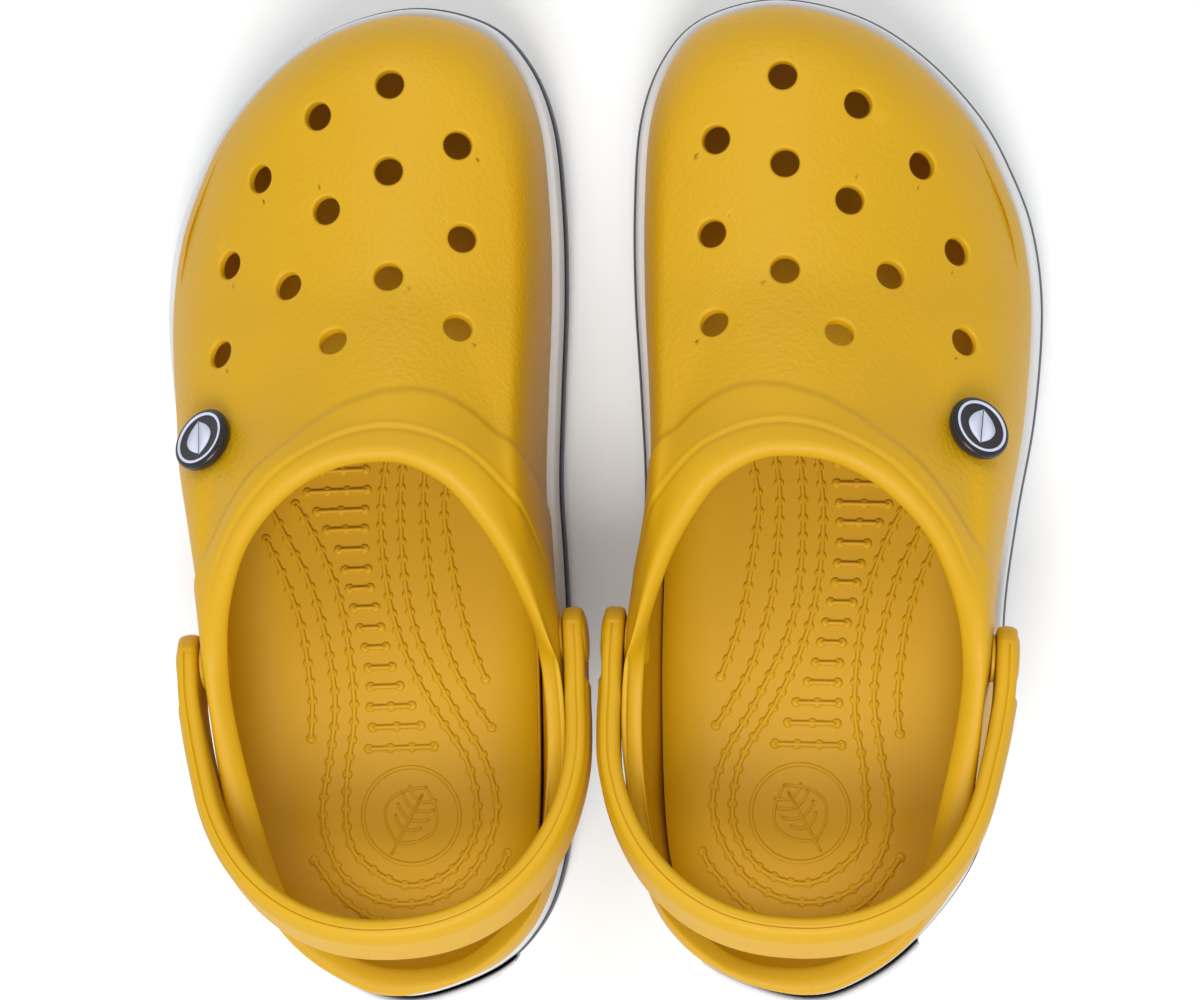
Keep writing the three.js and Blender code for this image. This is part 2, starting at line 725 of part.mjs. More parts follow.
const pieces = [
  ['upper_shell', 'foam', upperShell()],
  ['footbed', 'foam', footbed()],
  ['midsole', 'band', midsole()],
  ['side_stripe', 'stripe', sideStripe()],
  ['outsole', 'outsole', outsole()],
  ['heel_patch', 'band', heelPatch()],
  ['heel_strap', 'foam', heelStrap()],
  ['rivet_stud_outer', 'rivet', rivetStud(-1)],
  ['rivet_stud_inner', 'rivet', rivetStud(1)],
  ['rivet_cap_outer', 'rivet', rivetCap(-1)],
  ['rivet_cap_inner', 'rivet', rivetCap(1)],
  ['washer_outer', 'washer', washer(-1)],
  ['washer_inner', 'washer', washer(1)],
  ['badge_button', 'badge', badgeButton()],
  ['badge_clip', 'badge', badgeClip()],
  ['badge_emblem', 'emblem', badgeEmblem()],
];

// ---- The pair ---------------------------------------------------------------------------

function mirrored(geometry) {
  const copy = (geometry.getIndex() ? geometry.clone() : mergeVertices(geometry)).scale(-1, 1, 1);
  const index = copy.getIndex().array;
  for (let i = 0; i < index.length; i += 3) [index[i], index[i + 1]] = [index[i + 1], index[i]];
  return copy;
}

function clog(name, side) {
  const group = new THREE.Group();
  for (const [piece, finish, geometry] of pieces) {
    const shape = side > 0 ? mirrored(geometry) : geometry;
    const mesh = new THREE.Mesh(shape, new THREE.MeshStandardMaterial(finishes[finish]));
    mesh.name = `${name}_${piece}`;
    group.add(mesh);
  }
  group.position.set(side * clogSpacing / 2, side > 0 ? rightAhead : 0, 0);
  group.rotation.z = THREE.MathUtils.degToRad(clogTurn);
  return group;
}

const pair = new THREE.Group();
pair.add(clog('left', -1), clog('right', 1));

// Stands the pair with the middle of its footprint on the origin.
const box = new THREE.Box3().setFromObject(pair);
const middle = box.getCenter(new THREE.Vector3());
pair.position.set(-middle.x, -middle.y, -box.min.z);

export default pair;
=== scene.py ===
import json
import math

import bpy
import numpy as np
from mathutils import Matrix, Vector
from mathutils.bvhtree import BVHTree


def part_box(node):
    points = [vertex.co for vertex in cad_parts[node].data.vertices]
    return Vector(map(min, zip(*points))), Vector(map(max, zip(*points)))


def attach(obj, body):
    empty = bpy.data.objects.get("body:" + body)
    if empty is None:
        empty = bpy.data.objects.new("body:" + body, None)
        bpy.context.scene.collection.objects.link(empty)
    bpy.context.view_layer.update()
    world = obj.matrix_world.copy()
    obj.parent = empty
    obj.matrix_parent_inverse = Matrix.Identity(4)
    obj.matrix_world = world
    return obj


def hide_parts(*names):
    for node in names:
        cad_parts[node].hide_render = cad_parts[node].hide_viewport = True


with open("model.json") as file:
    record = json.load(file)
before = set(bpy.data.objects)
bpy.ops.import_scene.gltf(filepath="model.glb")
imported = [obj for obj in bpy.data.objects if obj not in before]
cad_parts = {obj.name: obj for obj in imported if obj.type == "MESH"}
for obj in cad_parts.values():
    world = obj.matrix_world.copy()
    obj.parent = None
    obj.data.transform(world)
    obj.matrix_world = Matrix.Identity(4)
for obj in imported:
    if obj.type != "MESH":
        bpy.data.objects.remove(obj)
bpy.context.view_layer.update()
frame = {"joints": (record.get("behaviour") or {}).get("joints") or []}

# A pair of moulded foam garden clogs. Sizes are in millimetres in the left clog's own frame:
# mid length on the floor, +Y to the toes and +X to the inner side. The right clog is its mirror image.

clog = {
    "length": 280.7, "width": 114.4, "gap": 0.3,
    "heelThick": 27, "toeThick": 22,       # sole under the heel and under the ball of the foot
    "toeSpring": 12, "toeSpringStart": 21.4,   # starts are in percent of the length from mid length
    "heelSpring": 4, "heelSpringStart": -39.9,
    "archBack": -21.4, "archFront": 17.8,
    "turn": 0.83,                          # degrees that both stand turned by
    "steps": 170,                          # facets along each side
}

# Outlines in percent of width and length, from the heel round the outer side to the toe and back.
soleOutline = [
    (5.5, -48.6), (-10.5, -46.6), (-24.6, -41.9), (-36.7, -34.7), (-41.3, -25.6), (-43.4, -15),
    (-44.7, -8.5), (-47.9, -0.4), (-52.1, 8.6), (-54.2, 18.9), (-52.4, 26.6), (-47.5, 32.5),
    (-39.5, 38.5), (-25.6, 44.5), (-9.6, 48.5), (10.1, 50.2), (28, 48.5), (38, 44.5), (43.7, 38.5),
    (45.6, 30.3), (45.8, 21.4), (44.7, 11.6), (43.9, 2.6), (44.8, -5.3), (45.7, -16), (45.5, -28.5),
    (43.3, -36), (37.2, -41.8), (26, -46),
]
collarOutline = [
    (7.5, -45), (-7, -43.4), (-21.5, -37.8), (-30.6, -26), (-35.2, -13.4), (-29.5, -3.9),
    (-19.2, 2.1), (-5, 5.9), (10.8, 6.8), (22, 5.2), (29.7, 2.1), (38, -3.9), (45.1, -13.4),
    (46.6, -24), (40.6, -36), (25.5, -43),
]


# Curves and heights that the pieces share.

def smoothStep(low, high, value):
    q = np.clip((value - low) / (high - low), 0, 1)
    return q * q * (3 - 2 * q)


def mix(a, b, share):
    return a + (b - a) * share


# Curve from start to end, leaving and arriving along two vectors.
def curveBetween(start, end, leave, arrive, q):
    rise = end - start
    return start + leave * q + (3 * rise - 2 * leave - arrive) * q**2 + (leave + arrive - 2 * rise) * q**3


def loopThrough(percents, count=1600):
    points = np.array(percents) * (clog["width"] / 100, clog["length"] / 100)
    place = np.arange(count) / count * len(points)
    index = place.astype(int)
    q = (place - index)[:, None]
    before, start, end, after = (points[(index + k) % len(points)] for k in (-1, 0, 1, 2))
    return curveBetween(start, end, 0.5 * (end - before), 0.5 * (after - start), q)


# Each side of a loop is walked from its back (0) to its front (1) by length.
def splitAtTips(loop):
    front, back = np.argmax(loop[:, 1]), np.argmin(loop[:, 1])
    sides = {}
    for side, step in ((-1, 1), (1, -1)):
        count = (front - back) * step % len(loop)
        points = loop[(back + step * np.arange(count + 1)) % len(loop)]
        lengths = np.r_[0, np.cumsum(np.linalg.norm(np.diff(points, axis=0), axis=1))]
        sides[side] = (lengths / lengths[-1], points)
    return sides


def alongLoop(curve, side, share):
    share = np.asarray(share, float)
    past = (share < 0) | (share > 1)       # past a tip the curve goes on along the other side
    folded = np.where(share > 1, 2 - share, np.abs(share))
    own, other = (np.stack([np.interp(folded, s, p[:, k]) for k in (0, 1)], -1)
                  for s, p in (curve[side], curve[-side]))
    return np.where(past[..., None], other, own)


def edgePoint(curve, side, share, inset):
    tangent = alongLoop(curve, side, share + 0.004) - alongLoop(curve, side, share - 0.004)
    tangent /= np.linalg.norm(tangent, axis=-1, keepdims=True)
    inward = np.stack([-tangent[..., 1], tangent[..., 0]], -1) * side
    return alongLoop(curve, side, share) + inward * np.asarray(inset)[..., None]


# Smooth curve through (position, value) stations, with level ends.
def through(stations, position):
    at, value = np.array(stations, float).T
    slope = np.zeros(len(at))
    slope[1:-1] = (value[2:] - value[:-2]) / (at[2:] - at[:-2])
    position = np.clip(position, at[0], at[-1])
    i = np.clip(np.searchsorted(at, position, side="right") - 1, 0, len(at) - 2)
    span = at[i + 1] - at[i]
    leave, arrive = slope[i] * span, slope[i + 1] * span
    return curveBetween(value[i], value[i + 1], leave, arrive, (position - at[i]) / span)


outline = splitAtTips(loopThrough(soleOutline))
collar = splitAtTips(loopThrough(collarOutline))


def percentAlong(y):
    return y / clog["length"] * 100


def underside(y):
    toe = np.maximum(0, percentAlong(y) - clog["toeSpringStart"]) / (50 - clog["toeSpringStart"])
    heel = np.maximum(0, clog["heelSpringStart"] - percentAlong(y)) / (50 + clog["heelSpringStart"])
    return clog["toeSpring"] * toe**2 + clog["heelSpring"] * heel**2


def soleTop(y):
    share = smoothStep(clog["archBack"], clog["archFront"], percentAlong(y))
    return underside(y) + mix(clog["heelThick"], clog["toeThick"], share)


def withHeight(points, height):
    return np.concatenate([points, np.asarray(height)[..., None]], -1)


# A loop round the clog of what place(side, share) gives: heel, outer side, toe, inner side.
def roundLoop(place, steps=None):
    shares = np.linspace(0, 1, (steps or clog["steps"]) + 1)
    return np.concatenate([place(-1, shares), place(1, shares[-2:0:-1])])


# Plan loop at an inset from the sole's edge.
def soleLoop(inset):
    return roundLoop(lambda side, share: edgePoint(outline, side, share, inset))


# Meshes.

# Quads between loops of the same count; loops is (number of loops, points in a loop, 3).
def joinLoops(loopCount, count, ring=False, start=0):
    here = np.arange(count)
    after = np.roll(here, -1)
    quads = []
    for k in range(loopCount if ring else loopCount - 1):
        low, high = start + k * count, start + (k + 1) % loopCount * count
        quads.append(np.stack([low + here, low + after, high + after, high + here], 1))
    return np.concatenate(quads).tolist()


# The same with both ends closed.
def tubeFaces(loopCount, count):
    last = (loopCount - 1) * count
    ends = [tuple(range(count)), tuple(last + i for i in range(count))[::-1]]
    return joinLoops(loopCount, count) + ends


def volumeOf(points, faces):
    total = 0.0
    for face in faces:
        a = points[face[0]]
        for i in range(1, len(face) - 1):
            total += a @ np.cross(points[face[i]], points[face[i + 1]])
    return total


def turnedOut(points, faces):
    points = np.asarray(points, float)
    if volumeOf(points, faces) < 0:
        faces = [tuple(reversed(f)) for f in faces]
    return points, faces


def joined(parts):
    points, faces, start = [], [], 0
    for p, f in parts:
        points.append(np.asarray(p, float))
        faces += [tuple(i + start for i in face) for face in f]
        start += len(p)
    return np.concatenate(points), faces


# Round solid about an axis; the profile's pairs are radius and distance along the axis.
def turnedSolid(profile, centre, axis, count=48):
    axis = Vector(axis).normalized()
    u = axis.orthogonal().normalized()
    v = axis.cross(u)
    angles = np.arange(count) * 2 * math.pi / count
    spokes = np.cos(angles)[:, None] * np.array(u) + np.sin(angles)[:, None] * np.array(v)
    rings = [np.array(centre) + spokes * r + np.array(axis) * h for r, h in profile]
    return turnedOut(np.concatenate(rings), tubeFaces(len(rings), count))


# Profile with each inner corner rounded by its own radius, for a turned solid.
def roundedProfile(corners, steps=5):
    profile = []
    for i, (r, h, size) in enumerate(corners):
        here = np.array((r, h), float)
        if size == 0 or i in (0, len(corners) - 1):
            profile.append(here)
            continue
        back = np.array(corners[i - 1][:2], float) - here
        ahead = np.array(corners[i + 1][:2], float) - here
        back *= size / np.linalg.norm(back)
        ahead *= size / np.linalg.norm(ahead)
        for q in np.linspace(0, 1, steps + 1):
            profile.append(here + back * (1 - q)**2 + ahead * q**2)
    return profile


def surfaceTree(points, faces):
    return BVHTree.FromPolygons([Vector(p) for p in points], faces)


# Where each clog stands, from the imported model.

def turnedBy(points, degrees):
    a = math.radians(degrees)
    x, y = points[..., 0], points[..., 1]
    return np.stack([x * math.cos(a) - y * math.sin(a), x * math.sin(a) + y * math.cos(a)], -1)


outsoleInset = 1.4
stands = {}
for name, mirror in (("left", 1), ("right", -1)):
    edge = soleLoop(outsoleInset)
    edge = turnedBy(edge * (mirror, 1), clog["turn"])
    low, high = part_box(f"{name}_outsole")
    middle = np.array((low + high)[:2]) * 500
    stands[name] = {"mirror": mirror, "shift": middle - (edge.min(0) + edge.max(0)) / 2}


def toWorld(name, points):
    stand = stands[name]
    points = np.asarray(points, float) * (stand["mirror"], 1, 1)
    plan = turnedBy(points[:, :2], clog["turn"]) + stand["shift"]
    return np.c_[plan, points[:, 2]] / 1000


def fromWorld(name, point):
    stand = stands[name]
    plan = turnedBy(np.array(point[:2]) * 1000 - stand["shift"], -clog["turn"])
    return np.array((plan[0] * stand["mirror"], plan[1], point[2] * 1000))


hinge = next(j for j in frame["joints"] if j["name"] == "left_strap_hinge")
pivot = fromWorld("left", hinge["pos_m"])
hingeAxis = turnedBy(-np.array(hinge["axis"][:2]), -clog["turn"])
axisInner = np.array((hingeAxis[0], hingeAxis[1], 0))     # points to the inner side


# Distance of a node's middle from the pivot, along the strap's axis.
def alongAxis(node):
    low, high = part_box(f"left_{node}")
    middle = fromWorld("left", [(a + b) / 2 for a, b in zip(low, high)])
    return abs((middle - pivot) @ axisInner)


# Sizes of what lies on the strap's axis, and distances from the pivot outwards through one side.
rivet = {
    "stud": 3, "head": 6.8, "headHeight": 2, "headSink": 4.1,
    "cap": 6.6, "capHeight": 1.3, "capSink": 0.9,
    "washer": 6.4, "washerThick": 1, "washerSink": 0.7,
    "strapThick": 5.5,
}
washerLow = (alongAxis("washer_inner") + alongAxis("washer_outer")) / 2 - rivet["washerThick"] / 2
wallSeat = washerLow + rivet["washerSink"]
strapLow = washerLow + rivet["washerThick"] + clog["gap"]
strapHigh = strapLow + rivet["strapThick"]
pivotHalfSpan = (strapLow + strapHigh) / 2
capLow = strapHigh - rivet["capSink"] + clog["gap"]


# Materials.

def linear(code):
    channels = [int(code[i:i + 2], 16) / 255 for i in (1, 3, 5)]
    return (*[c / 12.92 if c <= 0.04045 else ((c + 0.055) / 1.055) ** 2.4 for c in channels], 1)


def addNode(tree, kind, settings=None, inputs=None):
    node = tree.nodes.new(kind)
    for key, value in (settings or {}).items():
        setattr(node, key, value)
    for key, value in (inputs or {}).items():
        if isinstance(value, bpy.types.NodeSocket):
            tree.links.new(value, node.inputs[key])
        else:
            node.inputs[key].default_value = value
    return node


def newMaterial(name):
    material = bpy.data.materials.new(name)
    material.use_nodes = True
    material.node_tree.nodes.clear()
    return material, material.node_tree


# How many times per metre a pattern repeats, from the size of one repeat in millimetres.
def perMetre(size):
    return 1000 / size


evaLook = {
    # the third, paler ochre is a painted highlight laid on convex edges
    "colour": "#d6a60c", "deep": "#cf9e06", "paintedEdgeHighlight": "#dcae20",
    "grain": 1.3,            # pebbles on the toe box, across
    "mottle": 60,            # slow change of shade, across
    "roughness": 0.5,
}


# Closed-cell EVA foam, compression moulded and pigmented through: an even ochre with a satin skin.
# The toe box has a fine pebbled texture from its mould; the collar, strap and footbed are smooth.
def foamMaterial(name, grainHeight, fineHeight):
    material, tree = newMaterial(name)
    place = addNode(tree, "ShaderNodeTexCoord")
    mottle = addNode(tree, "ShaderNodeTexNoise", None, {
        "Vector": place.outputs["Object"], "Scale": perMetre(evaLook["mottle"]), "Detail": 2})
    shade = addNode(tree, "ShaderNodeMix", {"data_type": "RGBA"}, {
        "Factor": mottle.outputs["Fac"], "A": linear(evaLook["deep"]), "B": linear(evaLook["colour"])})
    edge = addNode(tree, "ShaderNodeNewGeometry")
    # painted highlight: convex edges, found by pointiness, are mixed towards the paler ochre
    paintedEdgeHighlight = addNode(tree, "ShaderNodeMapRange", None, {
        "Value": edge.outputs["Pointiness"], "From Min": 0.5, "From Max": 0.56, "To Max": 0.35})
    colour = addNode(tree, "ShaderNodeMix", {"data_type": "RGBA"}, {
        "Factor": paintedEdgeHighlight.outputs["Result"], "A": shade.outputs["Result"], "B": linear(evaLook["paintedEdgeHighlight"])})
    grain = addNode(tree, "ShaderNodeTexVoronoi", {"feature": "SMOOTH_F1"}, {
        "Vector": place.outputs["Object"], "Scale": perMetre(evaLook["grain"]), "Smoothness": 0.5})
    fine = addNode(tree, "ShaderNodeTexNoise", None, {
        "Vector": place.outputs["Object"], "Scale": perMetre(0.7), "Detail": 3})
    region = addNode(tree, "ShaderNodeAttribute", {"attribute_name": "grain"})
    pebbles = addNode(tree, "ShaderNodeMath", {"operation": "MULTIPLY"}, {
        0: grain.outputs["Distance"], 1: region.outputs["Fac"]})
    pebbleBump = addNode(tree, "ShaderNodeBump", None, {
        "Height": pebbles.outputs["Value"], "Distance": grainHeight, "Strength": 1})
    fineBump = addNode(tree, "ShaderNodeBump", None, {
        "Height": fine.outputs["Fac"], "Distance": fineHeight, "Strength": 1,
        "Normal": pebbleBump.outputs["Normal"]})
    sheen = addNode(tree, "ShaderNodeMapRange", None, {
        "Value": fine.outputs["Fac"], "From Min": 0.3, "From Max": 0.7,
        "To Min": evaLook["roughness"] - 0.05, "To Max": evaLook["roughness"] + 0.07})
    skin = addNode(tree, "ShaderNodeBsdfPrincipled", None, {
        "Base Color": colour.outputs["Result"], "Roughness": sheen.outputs["Result"],
        "IOR": 1.4, "Normal": fineBump.outputs["Normal"]})
    addNode(tree, "ShaderNodeOutputMaterial", None, {"Surface": skin.outputs["BSDF"]})
    return material


# Moulded plastic or rubber with a faint texture: two shades, a bump of that size and a roughness.
def mouldedMaterial(name, colour, other, roughness, texture=0.8, height=0.00002, ior=1.5):
    material, tree = newMaterial(name)
    place = addNode(tree, "ShaderNodeTexCoord")
    mottle = addNode(tree, "ShaderNodeTexNoise", None, {
        "Vector": place.outputs["Object"], "Scale": perMetre(25), "Detail": 3})
    shade = addNode(tree, "ShaderNodeMix", {"data_type": "RGBA"}, {
        "Factor": mottle.outputs["Fac"], "A": linear(colour), "B": linear(other)})
    fine = addNode(tree, "ShaderNodeTexNoise", None, {
        "Vector": place.outputs["Object"], "Scale": perMetre(texture), "Detail": 2})
    bump = addNode(tree, "ShaderNodeBump", None, {
        "Height": fine.outputs["Fac"], "Distance": height, "Strength": 1})
    sheen = addNode(tree, "ShaderNodeMapRange", None, {
        "Value": fine.outputs["Fac"], "From Min": 0.3, "From Max": 0.7,
        "To Min": roughness - 0.05, "To Max": roughness + 0.05})
    skin = addNode(tree, "ShaderNodeBsdfPrincipled", None, {
        "Base Color": shade.outputs["Result"], "Roughness": sheen.outputs["Result"],
        "IOR": ior, "Normal": bump.outputs["Normal"]})
    addNode(tree, "ShaderNodeOutputMaterial", None, {"Surface": skin.outputs["BSDF"]})
    return material


upperFoam = foamMaterial("pebbled moulded EVA foam", 0.00016, 0.00003)
smoothFoam = foamMaterial("smooth moulded EVA foam", 0, 0.00003)
paleRubber = mouldedMaterial("pale moulded rubber", "#e4e7ec", "#d8dce4", 0.5)
navyRubber = mouldedMaterial("navy moulded rubber", "#23273a", "#1c2030", 0.45)
greyRubber = mouldedMaterial("light outsole rubber", "#d5d8de", "#c6cad2", 0.6)
rivetPlastic = mouldedMaterial("ochre moulded nylon", "#d6a60c", "#cf9e06", 0.4)
blackPlastic = mouldedMaterial("black moulded ABS", "#1d1b22", "#26242c", 0.3)
palePrint = mouldedMaterial("pale moulded PVC", "#cdd3ea", "#dbe0f2", 0.4)


# Makes a piece for each clog from points in the left clog's own frame. Edges sharper than
# crease degrees stay crisp.
def addPiece(piece, points, faces, material, slotName, nodes, strap=False, grain=None, crease=None):
    points, faces = turnedOut(points, faces)
    for name in stands:
        mesh = bpy.data.meshes.new(f"{name}_{piece}")
        own = faces if name == "left" else [tuple(reversed(f)) for f in faces]
        mesh.from_pydata(toWorld(name, points).tolist(), [], own)
        mesh.polygons.foreach_set("use_smooth", [True] * len(mesh.polygons))
        if grain is not None:
            mesh.attributes.new("grain", "FLOAT", "POINT").data.foreach_set("value", grain)
        if crease is not None:
            mesh.set_sharp_from_angle(angle=math.radians(crease))
        mesh.materials.append(material)
        mesh.update()
        item = bpy.data.objects.new(mesh.name, mesh)
        bpy.context.scene.collection.objects.link(item)
        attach(item, f"{name}_strap" if strap else f"{name}_clog")
        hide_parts(*[f"{name}_{node}" for node in nodes])
    print("made", piece, len(points), "points")


# Upper: one moulded skin with a rolled collar, a raised collar band and vent holes.

upper = {
    "ledge": 3.3, "wall": 4.5,
    "rimRadius": 3.4,                      # how far the collar rolls in
    "shoulder": 24, "roundness": 2.5,      # rounded edge of the toe box
    "crownRate": 0.0075, "ridgePlace": 7.9,
    "innerBulge": 4, "outerBulge": -1,     # how far each wall leans out
    "outerHollow": -2.8, "heelHollow": -1.4,   # the outer wall behind the strap's axis, and the heel
    "gather": 1.9,                         # gathers the paths that come up over the toe
    "rimHeights": [(-50, 60), (-45, 61), (-26, 67), (-13.4, 72), (-3.9, 86), (2.1, 94.5), (6.8, 98)],
    "ridgeHeights": [(-50, 62), (-26, 78), (-13.4, 84), (-4, 92), (2, 95), (5.4, 94), (10, 87),
                     (16.7, 80), (22.8, 73), (32.8, 67.5), (41, 65), (50, 63)],
    "rows": 58, "bandRows": 40, "rimRows": 12, "innerRows": 46,
    "bandReach": 26,                       # the finely divided strip below the collar
    # width of the raised band, and of the lip along the opening, by share from heel to toe
    "band": {-1: [(0.3, 70), (0.36, 30), (0.42, 13), (0.47, 8.5), (0.55, 8), (0.63, 9), (0.69, 9.8),
                  (0.74, 11.7), (0.83, 14.3), (0.92, 15.6), (1, 16.6)],
             1: [(0.49, 70), (0.518, 44), (0.553, 26), (0.63, 20.1), (0.71, 20), (0.78, 19.5),
                 (0.88, 18.2), (1, 16.6)]},
    "lip": {-1: [(0.4, 1.6), (0.56, 1.6), (0.64, 2.6), (0.73, 3.4), (0.84, 5), (1, 5.6)],
            1: [(0.43, 17), (0.49, 14.5), (0.55, 10.4), (0.62, 8.2), (0.7, 7), (0.82, 5.9), (1, 5.6)]},
    "bandHeight": 0.9, "bandEdge": 1.5,    # height of the step and half the width of its slope
    "grooveDepth": 0.45, "grooveWidth": 0.7,
    "ventRadius": 3.8, "ventRound": 0.9, "ventPoints": 36,
    "ventReach": 6.3,                      # the skin is opened this far out and rebuilt round each vent
    # vents in percent of width and length
    "vents": [(8, 41.1), (-9.5, 38.3), (23.8, 35.2), (-24.2, 32.6), (7.7, 32.8), (-7.2, 29.2), (24.9, 26.3),
              (-32, 24.4), (-16.3, 22.1), (8, 22.7), (-33.2, 15.8), (-4.4, 16.7), (24.4, 17.8)],
}


# How much a place belongs to the back of the heel.
def heelShare(share):
    return 1 - smoothStep(0.02, 0.16, share)


def rimShare(share):
    return 1 - np.power(np.clip(1 - share, 0, None), upper["gather"])


def ridgeZ(points):
    across = points[..., 0] - upper["ridgePlace"] / 100 * clog["width"]
    return through(upper["ridgeHeights"], percentAlong(points[..., 1])) - upper["crownRate"] * across**2


# Paths from the sole's edge to the collar on the skin that lies inset inside the outer one.
# Returns (paths, rows, 3).
def skinPaths(side, share, inset, spread):
    foot = edgePoint(outline, side, share, upper["ledge"] + inset)
    outward = edgePoint(outline, side, share, 0) - edgePoint(outline, side, share, 1)
    rimInset = upper["rimRadius"] if inset > 0 else 0
    top = edgePoint(collar, side, rimShare(share), rimInset)
    rimY = edgePoint(collar, side, rimShare(share), 0)[:, 1]
    rimZ = through(upper["rimHeights"], percentAlong(rimY)) - rimInset
    base = soleTop(foot[:, 1]) + clog["gap"]
    length = np.linalg.norm(top - foot, axis=1)
    shoulder = length * upper["shoulder"] / np.hypot(length, upper["shoulder"])
    forward = smoothStep(0.38, 0.56, share)
    outerLean = mix(upper["outerHollow"], upper["outerBulge"], smoothStep(0.3, 0.36, share))
    lean = (upper["innerBulge"] if side > 0 else outerLean) * smoothStep(0.04, 0.3, share)
    bulge = (lean + upper["heelHollow"] * heelShare(share)) * (1 - forward)
    settle = rimZ - ridgeZ(top) + inset
    power = 2 / upper["roundness"]
    angle = np.linspace(0, math.pi / 2, 61)
    first = (shoulder / length)[:, None] * (1 - np.cos(angle).clip(0)**power)
    second = mix((shoulder / length)[:, None], 1, np.linspace(0, 1, 61)[1:])
    planShare = np.concatenate([first, second], 1)
    rise = np.r_[np.sin(angle)**power, np.ones(60)]
    plan = foot[:, None] + (top - foot)[:, None] * planShare[..., None]
    crown = ridgeZ(plan) - inset + settle[:, None] * smoothStep(0.6, 1, planShare)
    height = mix(rimZ[:, None], crown, forward[:, None])
    plan = plan + outward[:, None] * (bulge[:, None] * np.sin(math.pi * rise**2))[..., None]
    points = withHeight(plan, base[:, None] + (height - base[:, None]) * rise)
    lengths = np.cumsum(np.linalg.norm(np.diff(points, axis=1), axis=2), axis=1)
    lengths = np.concatenate([np.zeros((len(points), 1)), lengths], 1)
    even = np.empty((len(points), len(spread(1.0)), 3))
    for i in range(len(points)):
        at = spread(lengths[i, -1]) * lengths[i, -1]
        for k in range(3):
            even[i, :, k] = np.interp(at, lengths[i], points[i, :, k])
    return even


def outerSpread(length):
    band = min(upper["bandReach"] / length, 0.55)
    low = np.linspace(0, 1 - band, upper["rows"], endpoint=False)
    return np.r_[low, np.linspace(1 - band, 1, upper["bandRows"] + 1)]


def innerSpread(length):
    return np.linspace(0, 1, upper["innerRows"] + 1)


# All paths round the clog, as (rows, paths, 3), with the share of each.
def skinGrid(inset, spread):
    shares = np.linspace(0, 1, clog["steps"] + 1)
    back = shares[-2:0:-1]
    paths = np.concatenate([skinPaths(-1, shares, inset, spread), skinPaths(1, back, inset, spread)])
    return paths.transpose(1, 0, 2), np.r_[shares, back]


def gridNormals(grid):
    around = np.roll(grid, -1, 1) - np.roll(grid, 1, 1)
    upward = np.gradient(grid, axis=0)
    normal = np.cross(around, upward)
    normal /= np.linalg.norm(normal, axis=2, keepdims=True) + 1e-12
    out = grid - grid.mean((0, 1))
    return normal if (normal * out).sum() > 0 else -normal


# Distance below the collar of each point of a skin grid.
def belowCollar(grid):
    steps = np.linalg.norm(np.diff(grid, axis=0), axis=2)
    return np.r_[np.cumsum(steps[::-1], axis=0)[::-1], np.zeros((1, grid.shape[1]))]


skin, skinShare = skinGrid(0, outerSpread)


# Height of the collar's relief at each point of the outer skin, and how much of the pebbled
# texture each has: the band stands proud, and a fine groove marks off the lip.
def collarRelief(below, shares, sides):
    band, lip = np.zeros_like(below), np.zeros_like(below)
    for side in (-1, 1):
        on = sides == side
        band[:, on] = through(upper["band"][side], shares[on])
        lip[:, on] = through(upper["lip"][side], shares[on])
    inBand = 1 - smoothStep(-upper["bandEdge"], upper["bandEdge"], below - band)
    shown = smoothStep(0.4, 0.5, shares)
    groove = np.exp(-((below - lip) / upper["grooveWidth"])**2) * shown
    shoulder = np.exp(-((below - lip - 1.6 * upper["grooveWidth"]) / upper["grooveWidth"])**2) * shown
    relief = upper["bandHeight"] * (inBand - 1) - upper["grooveDepth"] * (groove - 0.6 * shoulder)
    return relief, 1 - smoothStep(-3, 0.5, band - below + 1)


# Rows of a rounded edge from one grid's last row to another's, leaving and arriving along their paths.
def rolledEdge(leaveGrid, arriveGrid, rows, fullness=1.8):
    start, end = leaveGrid[-1], arriveGrid[-1]
    size = np.linalg.norm(end - start, axis=1, keepdims=True) * fullness
    leave = leaveGrid[-1] - leaveGrid[-2]
    leave *= size / np.linalg.norm(leave, axis=1, keepdims=True)
    arrive = arriveGrid[-2] - arriveGrid[-1]
    arrive *= size / np.linalg.norm(arrive, axis=1, keepdims=True)
    return curveBetween(start, end, leave, arrive, np.linspace(0, 1, rows + 2)[1:-1, None, None])


# Presses the skin back to a seat square to the strap's axis, out to a radius and fading beyond it.
def flatSeats(grid, seat, radius, fade):
    offset = grid - pivot
    out = offset @ axisInner
    away = np.linalg.norm(offset - out[..., None] * axisInner, axis=-1)
    press = (1 - smoothStep(radius, radius + fade, away)) * np.maximum(np.abs(out) - seat, 0)
    return grid - (np.sign(out) * press)[..., None] * axisInner


# Removes the quads round an axis; returns the others and the edge of the gap, in order.
def openGap(points, quads, centre, axis, reach):
    offset = points - centre
    depth = offset @ axis
    away = np.linalg.norm(offset - depth[:, None] * axis, axis=1)
    near = (away < reach) & (np.abs(depth) < 14)
    while True:
        hit = near[quads].any(1)
        pairs = {(int(a), int(b)) for quad in quads[hit] for a, b in zip(quad, np.roll(quad, -1))}
        after = {a: b for a, b in pairs if (b, a) not in pairs}
        loop = [min(after)]
        while after[loop[-1]] != loop[0] and len(loop) <= len(after):
            loop.append(after[loop[-1]])
        if len(loop) == len(after):
            return quads[~hit], np.array(loop)
        near[loop[0]] = True


def spokesRound(axis, count):
    u = np.array(Vector(axis).orthogonal().normalized())
    v = np.cross(axis, u)
    angles = np.arange(count) * 2 * math.pi / count
    return u, v, np.cos(angles)[:, None] * u + np.sin(angles)[:, None] * v


def anglesAbout(offsets, u, v):
    return np.arctan2(offsets @ v, offsets @ u)


